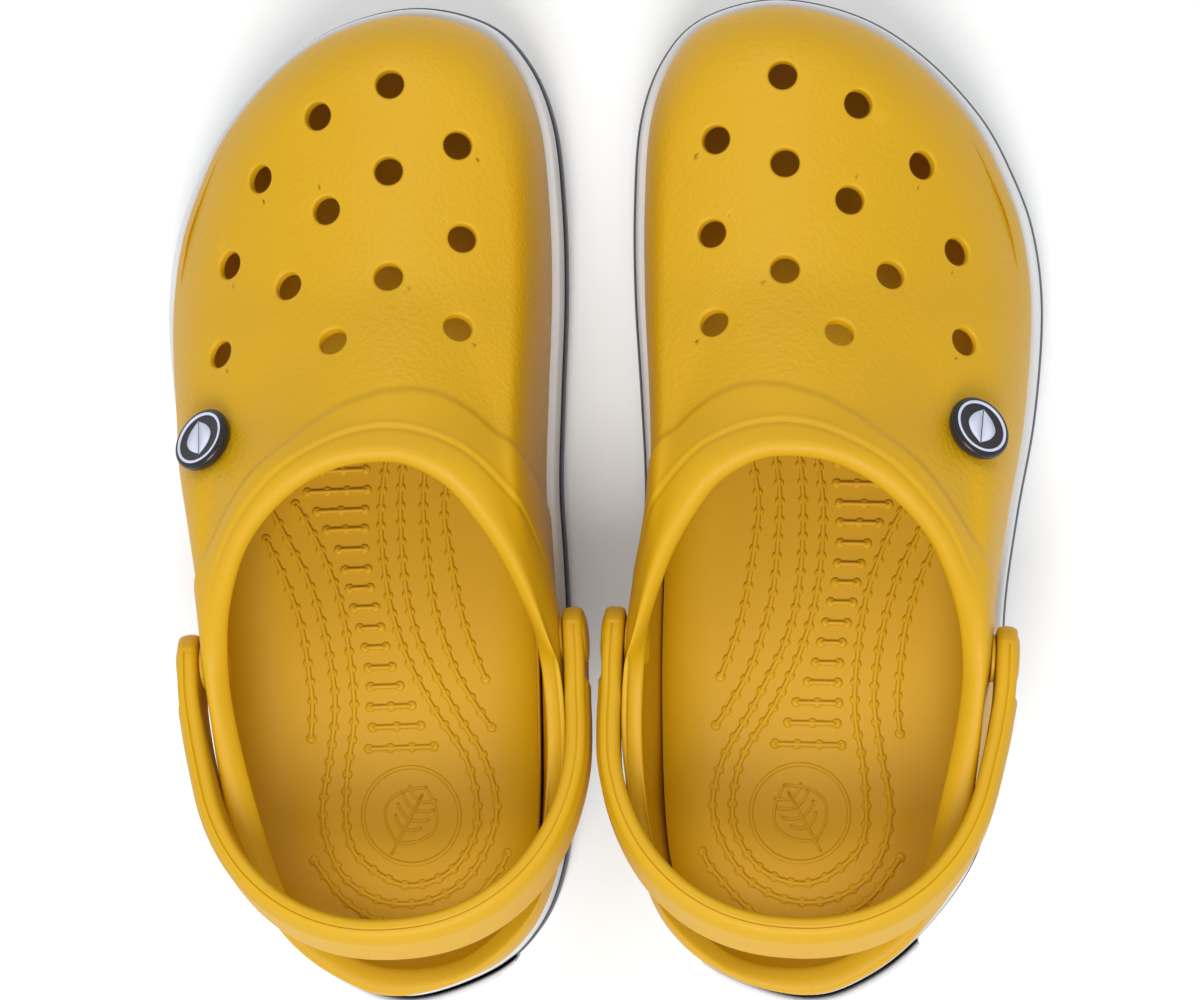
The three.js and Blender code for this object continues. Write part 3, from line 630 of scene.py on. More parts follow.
# Triangles between two rings about one axis, given in angle order.
def zipRings(outerIndex, outerAngle, innerIndex, innerAngle):
    faces, i, j = [], 0, 0
    outerCount, innerCount = len(outerIndex), len(innerIndex)
    outerAngle = np.r_[outerAngle, outerAngle[0] + 2 * math.pi]
    innerAngle = np.r_[innerAngle, innerAngle[0] + 2 * math.pi]
    while i < outerCount or j < innerCount:
        if j >= innerCount or (i < outerCount and outerAngle[i + 1] <= innerAngle[j + 1]):
            faces.append((outerIndex[i], outerIndex[(i + 1) % outerCount], innerIndex[j % innerCount]))
            i += 1
        else:
            faces.append((outerIndex[i % outerCount], innerIndex[(j + 1) % innerCount], innerIndex[j]))
            j += 1
    return faces


# Rings of a rounded hole's mouth on a skin, from the rim of the rounding down to the bore.
def mouthRings(tree, centre, axis, radius, rounding, count):
    _, _, spokes = spokesRound(axis, count)
    rings = []
    for turn in np.linspace(-0.35, 1, 7):
        angle = max(turn, 0) * math.pi / 2
        reach = radius + rounding * (1 - math.sin(angle)) + rounding * max(-turn, 0)
        depth = rounding * (1 - math.cos(angle))
        ring = []
        for spoke in spokes:
            start = centre + spoke * reach + axis * 8
            hit = tree.ray_cast(Vector(start), Vector(-axis), 20)[0]
            ring.append(np.array(hit) - axis * depth)
        rings.append(ring)
    return np.array(rings)


def makeUpper():
    sides = np.r_[-np.ones(clog["steps"] + 1), np.ones(clog["steps"] - 1)]
    relief, texture = collarRelief(belowCollar(skin), skinShare, sides)
    outer = skin + gridNormals(skin) * relief[..., None]
    outer = flatSeats(outer, wallSeat, 9.5, 9)
    outer = flatSeats(outer, washerLow - clog["gap"], 6.8, 0.8)
    inner, _ = skinGrid(upper["wall"], innerSpread)
    rim = rolledEdge(outer, inner, upper["rimRows"])
    shell = np.concatenate([outer, rim, inner[::-1]])
    rows, count, _ = shell.shape
    quads = np.array(joinLoops(rows, count, ring=True))[:, ::-1]     # facing outwards
    points = shell.reshape(-1, 3)
    outerEnd, innerStart = (len(outer) - 1) * count, (rows - len(inner)) * count
    skins = {1: quads[:outerEnd], -1: quads[innerStart:-count]}
    trees = {hand: surfaceTree(points, own.tolist()) for hand, own in skins.items()}
    added, faces, total = [], [], len(points)
    for x, y in upper["vents"]:
        over = Vector((x / 100 * clog["width"], y / 100 * clog["length"], 200))
        hit, normal, _, _ = trees[1].ray_cast(over, Vector((0, 0, -1)))
        axis = np.array(normal) * np.sign(normal.z)
        under = trees[-1].ray_cast(hit, Vector(-axis))[0]
        u, v, _ = spokesRound(axis, 4)
        bore = {}
        for hand, middle in ((1, np.array(hit)), (-1, np.array(under))):
            rings = mouthRings(trees[hand], middle, axis * hand, upper["ventRadius"], upper["ventRound"],
                               upper["ventPoints"])
            skins[hand], edge = openGap(points, skins[hand], middle, axis, upper["ventReach"])
            edgeAngles = anglesAbout(points[edge] - middle, u, v * hand)
            first = np.argmin(edgeAngles)
            edge, edgeAngles = np.roll(edge, -first), np.unwrap(np.roll(edgeAngles, -first))
            ringAngles = anglesAbout(rings[0] - middle, u, v * hand)
            order = np.argsort(ringAngles)
            rings, ringAngles = rings[:, order], ringAngles[order]
            index = total + np.arange(rings.shape[0] * rings.shape[1]).reshape(rings.shape[:2])
            added.append(rings.reshape(-1, 3))
            total += index.size
            faces += zipRings(edge.tolist(), edgeAngles, index[0].tolist(), ringAngles)
            for here, below in zip(index, index[1:]):
                after, belowAfter = np.roll(here, -1), np.roll(below, -1)
                faces += np.stack([here, after, belowAfter, below], 1).tolist()
            bore[hand] = index[-1], ringAngles
        # the inner mouth runs the other way round, so its angles are turned over
        order = np.argsort(-bore[-1][1])
        faces += zipRings(bore[1][0].tolist(), bore[1][1],
                          bore[-1][0][order].tolist(), -bore[-1][1][order])
    whole = np.concatenate([skins[1], quads[outerEnd:innerStart], skins[-1], quads[-count:]])
    faces = whole.tolist() + [[int(i) for i in face] for face in faces]
    points = np.concatenate([points, *added])
    grain = np.r_[texture.ravel(), np.zeros(len(points) - texture.size)]
    addPiece("moulded_upper", points, faces, upperFoam, "upper_foam", ["upper_shell"], grain=grain)


makeUpper()


# Solids between a bottom loop and a top loop, closed across from side to side.

# Faces and new points that close a loop, from its outer side to its inner side.
def acrossCap(loop, start, total, cells, height=None, flip=False):
    count, steps = len(loop), len(loop) // 2
    left, right = loop[1:steps], loop[:steps:-1]
    share = np.linspace(0, 1, cells + 1)[1:-1, None, None]
    inside = mix(left, right, share).transpose(1, 0, 2)
    if height is not None:
        inside[..., 2] = height(inside[..., 0], inside[..., 1])
    index = total + np.arange(inside.shape[0] * inside.shape[1]).reshape(inside.shape[:2])
    index = np.c_[start + np.arange(1, steps), index, start + count - np.arange(1, steps)].tolist()
    faces = []
    for low, high in zip(index, index[1:]):
        faces += [(a, d, c, b) for a, b, c, d in zip(low, low[1:], high[1:], high)]
    faces += [(start, a, b) for a, b in zip(index[0], index[0][1:])]
    faces += [(start + steps, b, a) for a, b in zip(index[-1], index[-1][1:])]
    if flip:
        faces = [tuple(reversed(f)) for f in faces]
    return inside.reshape(-1, 3), faces


def slabMesh(loops, cells=8, topHeight=None):
    count = len(loops[0])
    points, faces = np.concatenate(loops), joinLoops(len(loops), count)
    last = (len(loops) - 1) * count
    inside, cap = acrossCap(loops[-1], last, len(points), cells, topHeight)
    points, faces = np.concatenate([points, inside]), faces + cap
    inside, cap = acrossCap(loops[0], 0, len(points), cells, None, True)
    return np.concatenate([points, inside]), faces + cap


# Loop at an inset from the sole's edge; heelInset adds to it at the back of the heel.
def edgeLoop(inset, height, heelInset=0):
    edge = roundLoop(lambda side, share: edgePoint(
        outline, side, share, inset + heelInset * heelShare(share)))
    return withHeight(edge, height(edge[:, 1]))


# Footbed: a smooth cupped insole with beaded lines, rungs and a round mark at the heel.

footbed = {
    "thickness": 4, "cup": 11, "cupReach": 14,   # the edge sweeps up into the wall
    "heelHug": 0.2,                        # and stays this much further in at the back of the heel
    "beadPitch": 4.9, "beadRadius": 1.45, "beadHeight": 0.75,
    "barRadius": 0.65, "barSink": 0.3,
    "markCentre": (7.5, -84), "markRadius": 13.5, "markWidth": 0.62,
    # beaded lines, each through a few points
    "lines": [
        [(-32.3, -6.6), (-26.6, -19), (-22.3, -31.9), (-20.3, -45.4), (-19.6, -53.2), (-20.2, -62.2)],
        [(-31, 2), (-26.4, -6.7), (-20.4, -18.5), (-16.2, -32), (-13.8, -45), (-13.3, -55), (-15, -67.8),
         (-17.3, -84.6), (-13.2, -98.6), (-5, -106), (4.6, -108.6), (15, -106.6), (24.8, -99.2),
         (31.4, -84.2), (28.6, -69), (19.8, -54), (10.1, -34.6), (6.4, -16.7), (5.6, 5.7), (7.5, 22)],
        [(-24, 3), (-17.5, -8.5), (-11.6, -24.3), (-8.7, -42), (-8, -57), (-10.2, -72.4), (-10.5, -88),
         (-6.5, -96.5), (5.7, -103.4), (18.7, -99.1), (25.9, -86.3), (23.6, -69.5), (14.3, -54.3),
         (6.7, -39.1), (1.9, -22.2), (0, 0.2), (2.7, 21)],
        [(14.2, 22), (12, 5.6), (12.6, -9), (14.7, -25.8), (20.1, -42.6), (26.5, -54), (30.4, -59.5)],
        [(21, 20), (17.8, 3), (18.9, -9), (22, -26.5), (25.2, -37.1), (28.9, -46.1)],
        [(-19.9, -96.3), (-10, -108.7), (4.5, -114.9), (19, -112.5), (31.5, -99.8), (34.4, -94.3)],
    ],
    # rungs across the middle: left end, right end and place along, from the toe back
    "rungs": [(-24, -4.2, 17.6), (-22.8, -4.2, 12.1), (-20.6, -3.8, 6.5), (-17.9, -4.5, 1),
              (-15.2, -4.6, -4.2), (-11.9, -4.6, -9.8), (-10.1, -3.8, -15.4), (-8.9, -3.1, -20.6),
              (-7.7, -1.7, -26),
              (-6.1, -0.3, -31.6), (-4.7, 1.1, -37), (-3.8, 2.7, -42.6), (-3.3, 4.9, -47.9),
              (-3.4, 8.1, -53.5), (-2.9, 10.5, -59.1), (-4.1, 14.1, -65)],
    "rungRise": 0.03,                      # each rung climbs this much per millimetre across
}


def footbedTop(x, y):
    dish = 1.2 * np.exp(-(((x - 7) / 24)**2 + ((y + 84) / 34)**2))
    return soleTop(y) + clog["gap"] + footbed["thickness"] - dish


def footbedMesh():
    edge = upper["ledge"] + upper["wall"] + 0.15
    atHeel = footbed["heelHug"]
    loops = [edgeLoop(edge + 1, lambda y: soleTop(y) + clog["gap"], atHeel),
             edgeLoop(edge, lambda y: soleTop(y) + clog["gap"] + 0.6, atHeel)]
    for angle in np.linspace(0, math.pi / 2, 16):
        away = footbed["cupReach"] * (1 - math.cos(angle))
        lift = footbed["cup"] * (1 - math.sin(angle))
        loop = edgeLoop(edge + away, np.zeros_like, atHeel)
        loop[:, 2] = footbedTop(*loop[:, :2].T) + lift
        loops.append(loop)
    return slabMesh(loops, 26, footbedTop)


def meshObject(name, points, faces=(), edges=()):
    mesh = bpy.data.meshes.new(name)
    mesh.from_pydata(np.asarray(points).tolist(), list(edges), list(faces))
    mesh.update()
    item = bpy.data.objects.new(name, mesh)
    bpy.context.scene.collection.objects.link(item)
    return item


# The points and faces of a solid with others cut out of it.
def cutBy(solid, cutters):
    item = meshObject("solid", *solid)
    others = [meshObject("cutter", *cutter) for cutter in cutters]
    for other in others:
        modifier = item.modifiers.new("cut", "BOOLEAN")
        modifier.operation, modifier.solver, modifier.object = "DIFFERENCE", "EXACT", other
    result = meshOf(item)
    for other in others:
        bpy.data.objects.remove(other)
    return result


# The points and faces of an object with its modifiers; the object is removed.
def meshOf(item):
    depsgraph = bpy.context.evaluated_depsgraph_get()
    mesh = bpy.data.meshes.new_from_object(item.evaluated_get(depsgraph), depsgraph=depsgraph)
    points = np.empty(len(mesh.vertices) * 3)
    mesh.vertices.foreach_get("co", points)
    faces = [tuple(p.vertices) for p in mesh.polygons]
    item.modifiers.clear()
    bpy.data.meshes.remove(mesh)
    bpy.data.objects.remove(item)
    return points.reshape(-1, 3), faces


def newTree(name, sockets):
    tree = bpy.data.node_groups.new(name, "GeometryNodeTree")
    for socketName, kind, value in sockets:
        socket = tree.interface.new_socket(name=socketName, in_out="INPUT", socket_type=kind)
        if value is not None:
            socket.default_value = value
    tree.interface.new_socket(name="Geometry", in_out="OUTPUT", socket_type="NodeSocketGeometry")
    return tree, tree.nodes.new("NodeGroupInput").outputs, tree.nodes.new("NodeGroupOutput").inputs


# Runs a tree on a guide object and returns the points and faces of what it makes.
def grown(guide, tree, values):
    modifier = guide.modifiers.new(tree.name, "NODES")
    modifier.node_group = tree
    for item in tree.interface.items_tree:
        if item.item_type == "SOCKET" and item.in_out == "INPUT" and item.name in values:
            modifier[item.identifier] = values[item.name]
    return meshOf(guide)


# Beaded lines: each guide line becomes a smooth bar with a bead at every pitch, laid on a surface.
def beadedLinesTree():
    tree, given, result = newTree("beaded lines", [
        ("Geometry", "NodeSocketGeometry", None), ("Surface", "NodeSocketObject", None),
        ("Bead Pitch", "NodeSocketFloat", 4.9), ("Bead Radius", "NodeSocketFloat", 1.3),
        ("Bead Height", "NodeSocketFloat", 0.75), ("Bar Radius", "NodeSocketFloat", 0.55),
        ("Bar Sink", "NodeSocketFloat", 0.1), ("Material", "NodeSocketMaterial", None)])
    surface = addNode(tree, "GeometryNodeObjectInfo", {"transform_space": "RELATIVE"},
                      {"Object": given["Surface"]})
    lines = addNode(tree, "GeometryNodeMeshToCurve", None, {"Mesh": given["Geometry"]})
    smooth = addNode(tree, "GeometryNodeCurveSplineType", {"spline_type": "CATMULL_ROM"},
                     {"Curve": lines.outputs["Curve"]})
    pieces = []
    barStep = 1.2
    for pitch in (given["Bead Pitch"], barStep):
        spaced = addNode(tree, "GeometryNodeResampleCurve", {"mode": "LENGTH"},
                         {"Curve": smooth.outputs["Curve"], "Length": pitch})
        here = addNode(tree, "GeometryNodeInputPosition")
        above = addNode(tree, "ShaderNodeVectorMath", {"operation": "ADD"},
                        {0: here.outputs[0], 1: (0, 0, 60)})
        drop = addNode(tree, "GeometryNodeRaycast", None, {
            "Target Geometry": surface.outputs["Geometry"], "Source Position": above.outputs[0],
            "Ray Direction": (0, 0, -1), "Ray Length": 120.0})
        sunk = addNode(tree, "ShaderNodeVectorMath", {"operation": "MULTIPLY_ADD"}, {
            0: drop.outputs["Hit Normal"], 2: drop.outputs["Hit Position"]})
        if pitch == barStep:
            down = addNode(tree, "ShaderNodeCombineXYZ")
            minus = addNode(tree, "ShaderNodeMath", {"operation": "MULTIPLY"},
                            {0: given["Bar Sink"], 1: -1.0})
            for axis in range(3):
                tree.links.new(minus.outputs[0], down.inputs[axis])
            tree.links.new(down.outputs[0], sunk.inputs[1])
        laid = addNode(tree, "GeometryNodeSetPosition", None, {
            "Geometry": spaced.outputs["Curve"], "Position": sunk.outputs[0]})
        pieces.append((laid, drop))
    dots, dotDrop = pieces[0]
    bead = addNode(tree, "GeometryNodeMeshUVSphere", None, {"Segments": 12, "Rings": 6, "Radius": 1.0})
    upright = addNode(tree, "FunctionNodeAlignRotationToVector", {"axis": "Z"},
                      {"Vector": dotDrop.outputs["Hit Normal"]})
    size = addNode(tree, "ShaderNodeCombineXYZ", None, {
        0: given["Bead Radius"], 1: given["Bead Radius"], 2: given["Bead Height"]})
    beads = addNode(tree, "GeometryNodeInstanceOnPoints", None, {
        "Points": dots.outputs["Geometry"], "Instance": bead.outputs["Mesh"],
        "Rotation": upright.outputs["Rotation"], "Scale": size.outputs[0]})
    section = addNode(tree, "GeometryNodeCurvePrimitiveCircle", None, {
        "Resolution": 8, "Radius": given["Bar Radius"]})
    bars = addNode(tree, "GeometryNodeCurveToMesh", None, {
        "Curve": pieces[1][0].outputs["Geometry"], "Profile Curve": section.outputs["Curve"],
        "Fill Caps": True})
    both = addNode(tree, "GeometryNodeJoinGeometry")
    tree.links.new(beads.outputs["Instances"], both.inputs[0])
    tree.links.new(bars.outputs["Mesh"], both.inputs[0])
    real = addNode(tree, "GeometryNodeRealizeInstances", None, {"Geometry": both.outputs[0]})
    painted = addNode(tree, "GeometryNodeSetMaterial", None, {
        "Geometry": real.outputs[0], "Material": given["Material"]})
    tree.links.new(painted.outputs[0], result[0])
    return tree


# Raised line of round section along closed or open plan points, laid on a surface.
def raisedLine(tree, plan, width, height, closed=True):
    plan = np.array(plan, float)
    tangent = np.roll(plan, -1, 0) - np.roll(plan, 1, 0) if closed else np.gradient(plan, axis=0)
    tangent /= np.linalg.norm(tangent, axis=1, keepdims=True)
    side = np.c_[-tangent[:, 1], tangent[:, 0]]
    loops = []
    for angle in np.linspace(0, math.pi, 7):
        spot = plan + side * math.cos(angle) * width
        z = [tree.ray_cast(Vector((x, y, 150)), Vector((0, 0, -1)))[0].z for x, y in spot]
        loops.append(withHeight(spot, np.array(z) + math.sin(angle) * height - 0.08))
    loops.append(loops[0] * 0.5 + loops[-1] * 0.5 - (0, 0, 1))
    if closed:
        return turnedOut(np.concatenate(loops), joinLoops(len(loops), len(plan), ring=True))
    sections = np.array(loops).transpose(1, 0, 2)
    return turnedOut(sections.reshape(-1, 3), tubeFaces(*sections.shape[:2]))


def curved(points, steps=24):
    points = np.array(points, float)
    share = np.linspace(0, len(points) - 1, steps)
    padded = np.concatenate([2 * points[:1] - points[1:2], points, 2 * points[-1:] - points[-2:-1]])
    i = np.clip(share.astype(int), 0, len(points) - 2)
    q = (share - i)[:, None]
    before, start, end, after = (padded[i + k] for k in range(4))
    return curveBetween(start, end, 0.5 * (end - before), 0.5 * (after - start), q)


# Plain leaf for the marks: its outline, and the lines of its midrib and veins.
def leafLines(length, width):
    tip = length / 2
    right = [(0, -tip), (width * 0.36, -tip * 0.55), (width * 0.5, 0), (width * 0.34, tip * 0.55), (0, tip)]
    left = [(-x, y) for x, y in right]
    midrib = np.array([(0, -tip * 1.35), (0, -tip), (0, 0), (0, tip * 0.75)])
    lines = [curved(right, 28), curved(left, 28), midrib]
    for share in (-0.5, -0.15, 0.2, 0.5):
        for hand in (-1, 1):
            reach = width * 0.36 * (1 - 0.45 * abs(share - 0.05))
            lines.append(curved([(0, share * tip), (hand * reach * 0.6, share * tip + tip * 0.12),
                                 (hand * reach, share * tip + tip * 0.3)], 8))
    return lines


def makeFootbed():
    points, faces = footbedMesh()
    tree = surfaceTree(points, faces)
    addPiece("footbed", points, faces, smoothFoam, "footbed_foam", ["footbed"])
    guidePoints, guideEdges = [], []
    rungs = [[(a, y - footbed["rungRise"] * (b - a) / 2), (b, y + footbed["rungRise"] * (b - a) / 2)]
             for a, b, y in footbed["rungs"]]
    for line in footbed["lines"] + rungs:
        start = len(guidePoints)
        guidePoints += [(x, y, 0) for x, y in line]
        guideEdges += [(start + i, start + i + 1) for i in range(len(line) - 1)]
    guide = meshObject("footbed line guide", guidePoints, edges=guideEdges)
    bed = meshObject("footbed surface guide", points, faces)
    parts = [grown(guide, beadedLinesTree(), {
        "Surface": bed, "Bead Pitch": footbed["beadPitch"], "Bead Radius": footbed["beadRadius"],
        "Bead Height": footbed["beadHeight"], "Bar Radius": footbed["barRadius"],
        "Bar Sink": footbed["barSink"], "Material": smoothFoam})]
    bpy.data.objects.remove(bed)
    cx, cy = footbed["markCentre"]
    ring = [(cx + footbed["markRadius"] * math.cos(a), cy + footbed["markRadius"] * math.sin(a))
            for a in np.linspace(0, 2 * math.pi, 96, endpoint=False)]
    parts.append(raisedLine(tree, ring, footbed["markWidth"], 0.6))
    lean = math.radians(-28)
    for line in leafLines(18, 15):
        x, y = np.array(line).T
        placed = np.c_[cx + x * math.cos(lean) - y * math.sin(lean),
                       cy + x * math.sin(lean) + y * math.cos(lean)]
        parts.append(raisedLine(tree, placed, 0.42, 0.5, closed=False))
    addPiece("footbed_lines", *joined(parts), smoothFoam, "footbed_foam", [])


makeFootbed()


# Sole: pale midsole with a navy stripe let in round it, and a treaded outsole.

midsole = {"stripeLow": 0.34, "stripeHigh": 0.66, "stripeDepth": 1.5, "stripeInset": 0.3, "stripeLean": 0.8}


def midsoleLevel(y, share):
    low = underside(y) + outsole["height"] + clog["gap"]
    return mix(low, soleTop(y), share)


def levelLoop(inset, share, lift=0):
    edge = soleLoop(inset)
    return withHeight(edge, midsoleLevel(edge[:, 1], share) + lift)


outsole = {"height": 7, "lugRadius": 3.6, "lugPitch": 9.5, "lugHeight": 2.2, "border": 7}


def makeMidsole():
    inset, lean = midsole["stripeInset"], midsole["stripeLean"]
    low, high, deep = midsole["stripeLow"], midsole["stripeHigh"], midsole["stripeDepth"]
    groove = inset + deep + clog["gap"]
    loops = [levelLoop(1.2, 0), levelLoop(0.45, 0.01), levelLoop(0.12, 0.05), levelLoop(0, 0.12),
             levelLoop(0.08, 0.22), levelLoop(inset, low, -0.35), levelLoop(inset + 0.35, low),
             levelLoop(groove, low), levelLoop(groove + lean, high), levelLoop(inset + lean + 0.35, high),
             levelLoop(inset + lean, high, 0.35), levelLoop(inset + 1.5 * lean, 0.86),
             levelLoop(inset + 2 * lean, 0.96), levelLoop(inset + 2 * lean + 0.35, 0.99),
             levelLoop(inset + 2 * lean + 1, 1)]
    addPiece("midsole", *slabMesh(loops), paleRubber, "midsole_foam", ["midsole"])
    bow = 0.25                             # the stripe stands a little proud of its groove
    loops = [levelLoop(inset + deep, low, 0.3), levelLoop(inset + 0.3, low, 0.15),
             levelLoop(inset - bow * 0.6, low, 0.5), levelLoop(inset + lean / 2 - bow, (low + high) / 2),
             levelLoop(inset + lean - bow * 0.6, high, -0.5), levelLoop(inset + lean + 0.3, high, -0.15),
             levelLoop(inset + lean + deep, high, -0.3)]
    count = len(loops[0])
    points = np.concatenate(loops)
    addPiece("side_stripe", points, joinLoops(len(loops), count, ring=True), navyRubber, "stripe_rubber",
             ["side_stripe"])


# Tread lugs: one rounded lug on each point of a guide, all standing the same way up.
def treadTree():
    tree, given, result = newTree("tread lugs", [
        ("Geometry", "NodeSocketGeometry", None), ("Lug Radius", "NodeSocketFloat", 3.6),
        ("Lug Height", "NodeSocketFloat", 2.2), ("Material", "NodeSocketMaterial", None)])
    foot = addNode(tree, "ShaderNodeMath", {"operation": "MULTIPLY"}, {0: given["Lug Radius"], 1: 0.8})
    lug = addNode(tree, "GeometryNodeMeshCone", None, {
        "Vertices": 6, "Side Segments": 2, "Radius Top": given["Lug Radius"],
        "Radius Bottom": foot.outputs[0], "Depth": given["Lug Height"]})
    lugs = addNode(tree, "GeometryNodeInstanceOnPoints", None, {
        "Points": given["Geometry"], "Instance": lug.outputs["Mesh"]})
    real = addNode(tree, "GeometryNodeRealizeInstances", None, {"Geometry": lugs.outputs["Instances"]})
    painted = addNode(tree, "GeometryNodeSetMaterial", None, {
        "Geometry": real.outputs[0], "Material": given["Material"]})
    tree.links.new(painted.outputs[0], result[0])
    return tree


def makeOutsole():
    lift = outsole["lugHeight"] - 0.2

    def level(inset, height):
        return edgeLoop(inset, lambda y: underside(y) + height)

    border = outsole["border"]
    loops = [level(border + 0.6, lift), level(border, lift - 0.4), level(border - 0.5, 0.3),
             level(border - 0.9, 0), level(4.2, 0), level(3.4, 0.2), level(2.4, 0.9), level(1.8, 1.8),
             level(1.5, 3),
             level(outsoleInset, 5), level(outsoleInset, outsole["height"] - 0.5),
             level(outsoleInset + 0.4, outsole["height"])]
    points, faces = slabMesh(loops, 14)
    guide = []
    pitch = outsole["lugPitch"]
    edge = soleLoop(border + outsole["lugRadius"] + 1)
    for row, y in enumerate(np.arange(edge[:, 1].min(), edge[:, 1].max(), pitch * 0.87)):
        near = edge[np.abs(edge[:, 1] - y) < 2.5]
        if len(near) < 2:
            continue
        for x in np.arange(-60, 60, pitch) + (row % 2) * pitch / 2:
            if near[:, 0].min() < x < near[:, 0].max():
                guide.append((x, y, float(underside(y))))
    lugs = grown(meshObject("tread guide", guide), treadTree(), {
        "Lug Radius": outsole["lugRadius"], "Lug Height": outsole["lugHeight"] + 0.6, "Material": greyRubber})
    addPiece("treaded_outsole", *joined([(points, faces), turnedOut(*lugs)]), greyRubber, "outsole_rubber",
             ["outsole"])


makeMidsole()
makeOutsole()


# Heel patch: a pale plate round the back of the midsole, with stepped ends.

patch = {"share": 0.1, "thickness": 1.1, "low": 0.12, "high": 0.9, "step": 0.45}


def makePatch():
    sections = []
    for position in np.linspace(-1, 1, 61):
        share, side = abs(position) * patch["share"], -1 if position < 0 else 1
        ends = 1 - smoothStep(0.985, 1, abs(position))
        panel = smoothStep(0.86, 0.83, abs(position)) if abs(position) > 0.8 else 1.0
        half = 0.5 * (patch["high"] - patch["low"]) * (0.9 + 0.1 * ends)
        centre = 0.5 * (patch["high"] + patch["low"])
        out = patch["thickness"] * (0.35 + 0.25 * ends)
        raised = out + patch["step"] * panel
        profile = [(0.1, -1), (-out * 0.7, -1), (-out, -0.94), (-out, -0.8), (-raised, -0.74),
                   (-raised, 0.74), (-out, 0.8), (-out, 0.94), (-out * 0.7, 1), (0.1, 1)]
        section = []
        for inset, level in profile:
            spot = edgePoint(outline, side, np.array([share]), inset)
            section.append(withHeight(spot, midsoleLevel(spot[:, 1], centre + half * level))[0])
        sections.append(section)
    faces = tubeFaces(len(sections), len(sections[0]))
    addPiece("heel_patch", np.concatenate(sections), faces, paleRubber, "patch_rubber", ["heel_patch"])


makePatch()


# Heel strap: a band with rolled edges, lengthwise grooves and a raised outer panel.

strap = {
    "arm": 18, "endRadius": 8.7,
    "toeIn": 1.3, "drift": 1.3,            # how far the arms lean in, and the band to the inner side
    "fullness": 2.2,                       # exponent of the band's curve; 2 is an ellipse
    "armHeight": 15.5, "backHeight": 19.5, "tilt": 18,
    "reach": 77.36, "backLean": 9,         # degrees the band leans in at the back, up its height
    "corner": 2, "panelRise": 0.8, "panelMargin": 3.2, "panelStart": 11,
    "endStep": 0.2, "endAt": -2.6,         # a fine step marks off the smooth round end
    "grooveDepth": 0.4, "grooveWidth": 0.45, "grooves": (-1.6, 0.7),
    "spare": 0.35, "chamfer": 0.3,         # room round the rivets, and the edge of the caps' recesses
}


# Middle line of the level strap, from the tip of its outer end to the tip of its inner end.
def strapLine(share):
    side = np.where(share < 0.5, -1, 1)
    position = 1 - np.abs(2 * share - 1)
    straight = strap["endRadius"] + strap["arm"]
    curvedLength = math.pi / 4 * (pivotHalfSpan + strap["reach"] - strap["arm"])
    travelled = position * (straight + curvedLength)
    behind = travelled - strap["endRadius"]
    angle = np.clip((travelled - straight) / curvedLength, 0, 1) * math.pi / 2
    power = 2 / strap["fullness"]
    lean = smoothStep(strap["endRadius"] * 0.6, strap["arm"] * 1.6, behind)
    x = pivotHalfSpan - strap["toeIn"] * lean
    x = np.where(travelled <= straight, x, x * np.cos(angle).clip(0)**power)
    y = np.where(travelled <= straight, -behind,
                 -strap["arm"] - (strap["reach"] - strap["arm"]) * np.sin(angle)**power)
    return np.stack([side * x, y], -1)


def strapSection(behind):
    radius, half = strap["endRadius"], rivet["strapThick"] / 2
    if behind < 0:
        height = math.sqrt(max(radius**2 - behind**2, 0.02))
        fromTip = radius + behind
    else:
        arm = mix(radius, strap["armHeight"] / 2, smoothStep(0, strap["arm"], behind))
        height = mix(arm, strap["backHeight"] / 2, smoothStep(strap["arm"], strap["reach"], behind))
        fromTip = radius
    corner = min(strap["corner"], height * 0.98)
    if fromTip < strap["corner"]:          # the end is rounded like the edges
        half -= strap["corner"] - math.sqrt(strap["corner"]**2 - (strap["corner"] - fromTip)**2)
        half = max(half, 0.3)
    corner = min(corner, half * 0.98)
    grooved = float(smoothStep(strap["endAt"] - 0.2, strap["endAt"] + 0.2, behind))
    height -= strap["endStep"] * grooved
    panel = float(smoothStep(strap["panelStart"], strap["panelStart"] + 1.4, behind)) * strap["panelRise"]
    points = []
    arc = np.linspace(0, math.pi / 2, 6)
    for t in np.linspace(-1, 1, 13)[1:-1]:                      # outer face, going up
        level = t * (height - corner)
        edge = height - strap["panelMargin"]
        points.append((half + panel * float(smoothStep(edge + 0.7, edge - 0.1, abs(level))), level))
    for a in arc:                                               # upper outer corner
        points.append((half - corner * (1 - math.cos(a)), height - corner * (1 - math.sin(a))))
    for across in np.linspace(half - corner, corner - half, 22)[1:-1]:   # upper edge with its grooves
        cut = sum(math.exp(-((across - g) / strap["grooveWidth"])**2) for g in strap["grooves"])
        points.append((across, height - strap["grooveDepth"] * cut * grooved))
    for a in arc[::-1]:
        points.append((-half + corner * (1 - math.cos(a)), height - corner * (1 - math.sin(a))))
    for t in np.linspace(1, -1, 9)[1:-1]:                       # inner face, going down
        points.append((-half, t * (height - corner)))
    for a in arc:
        points.append((-half + corner * (1 - math.cos(a)), -height + corner * (1 - math.sin(a))))
    for across in np.linspace(corner - half, half - corner, 5)[1:-1]:
        points.append((across, -height))
    for a in arc[::-1]:
        points.append((half - corner * (1 - math.cos(a)), -height + corner * (1 - math.sin(a))))
    return points


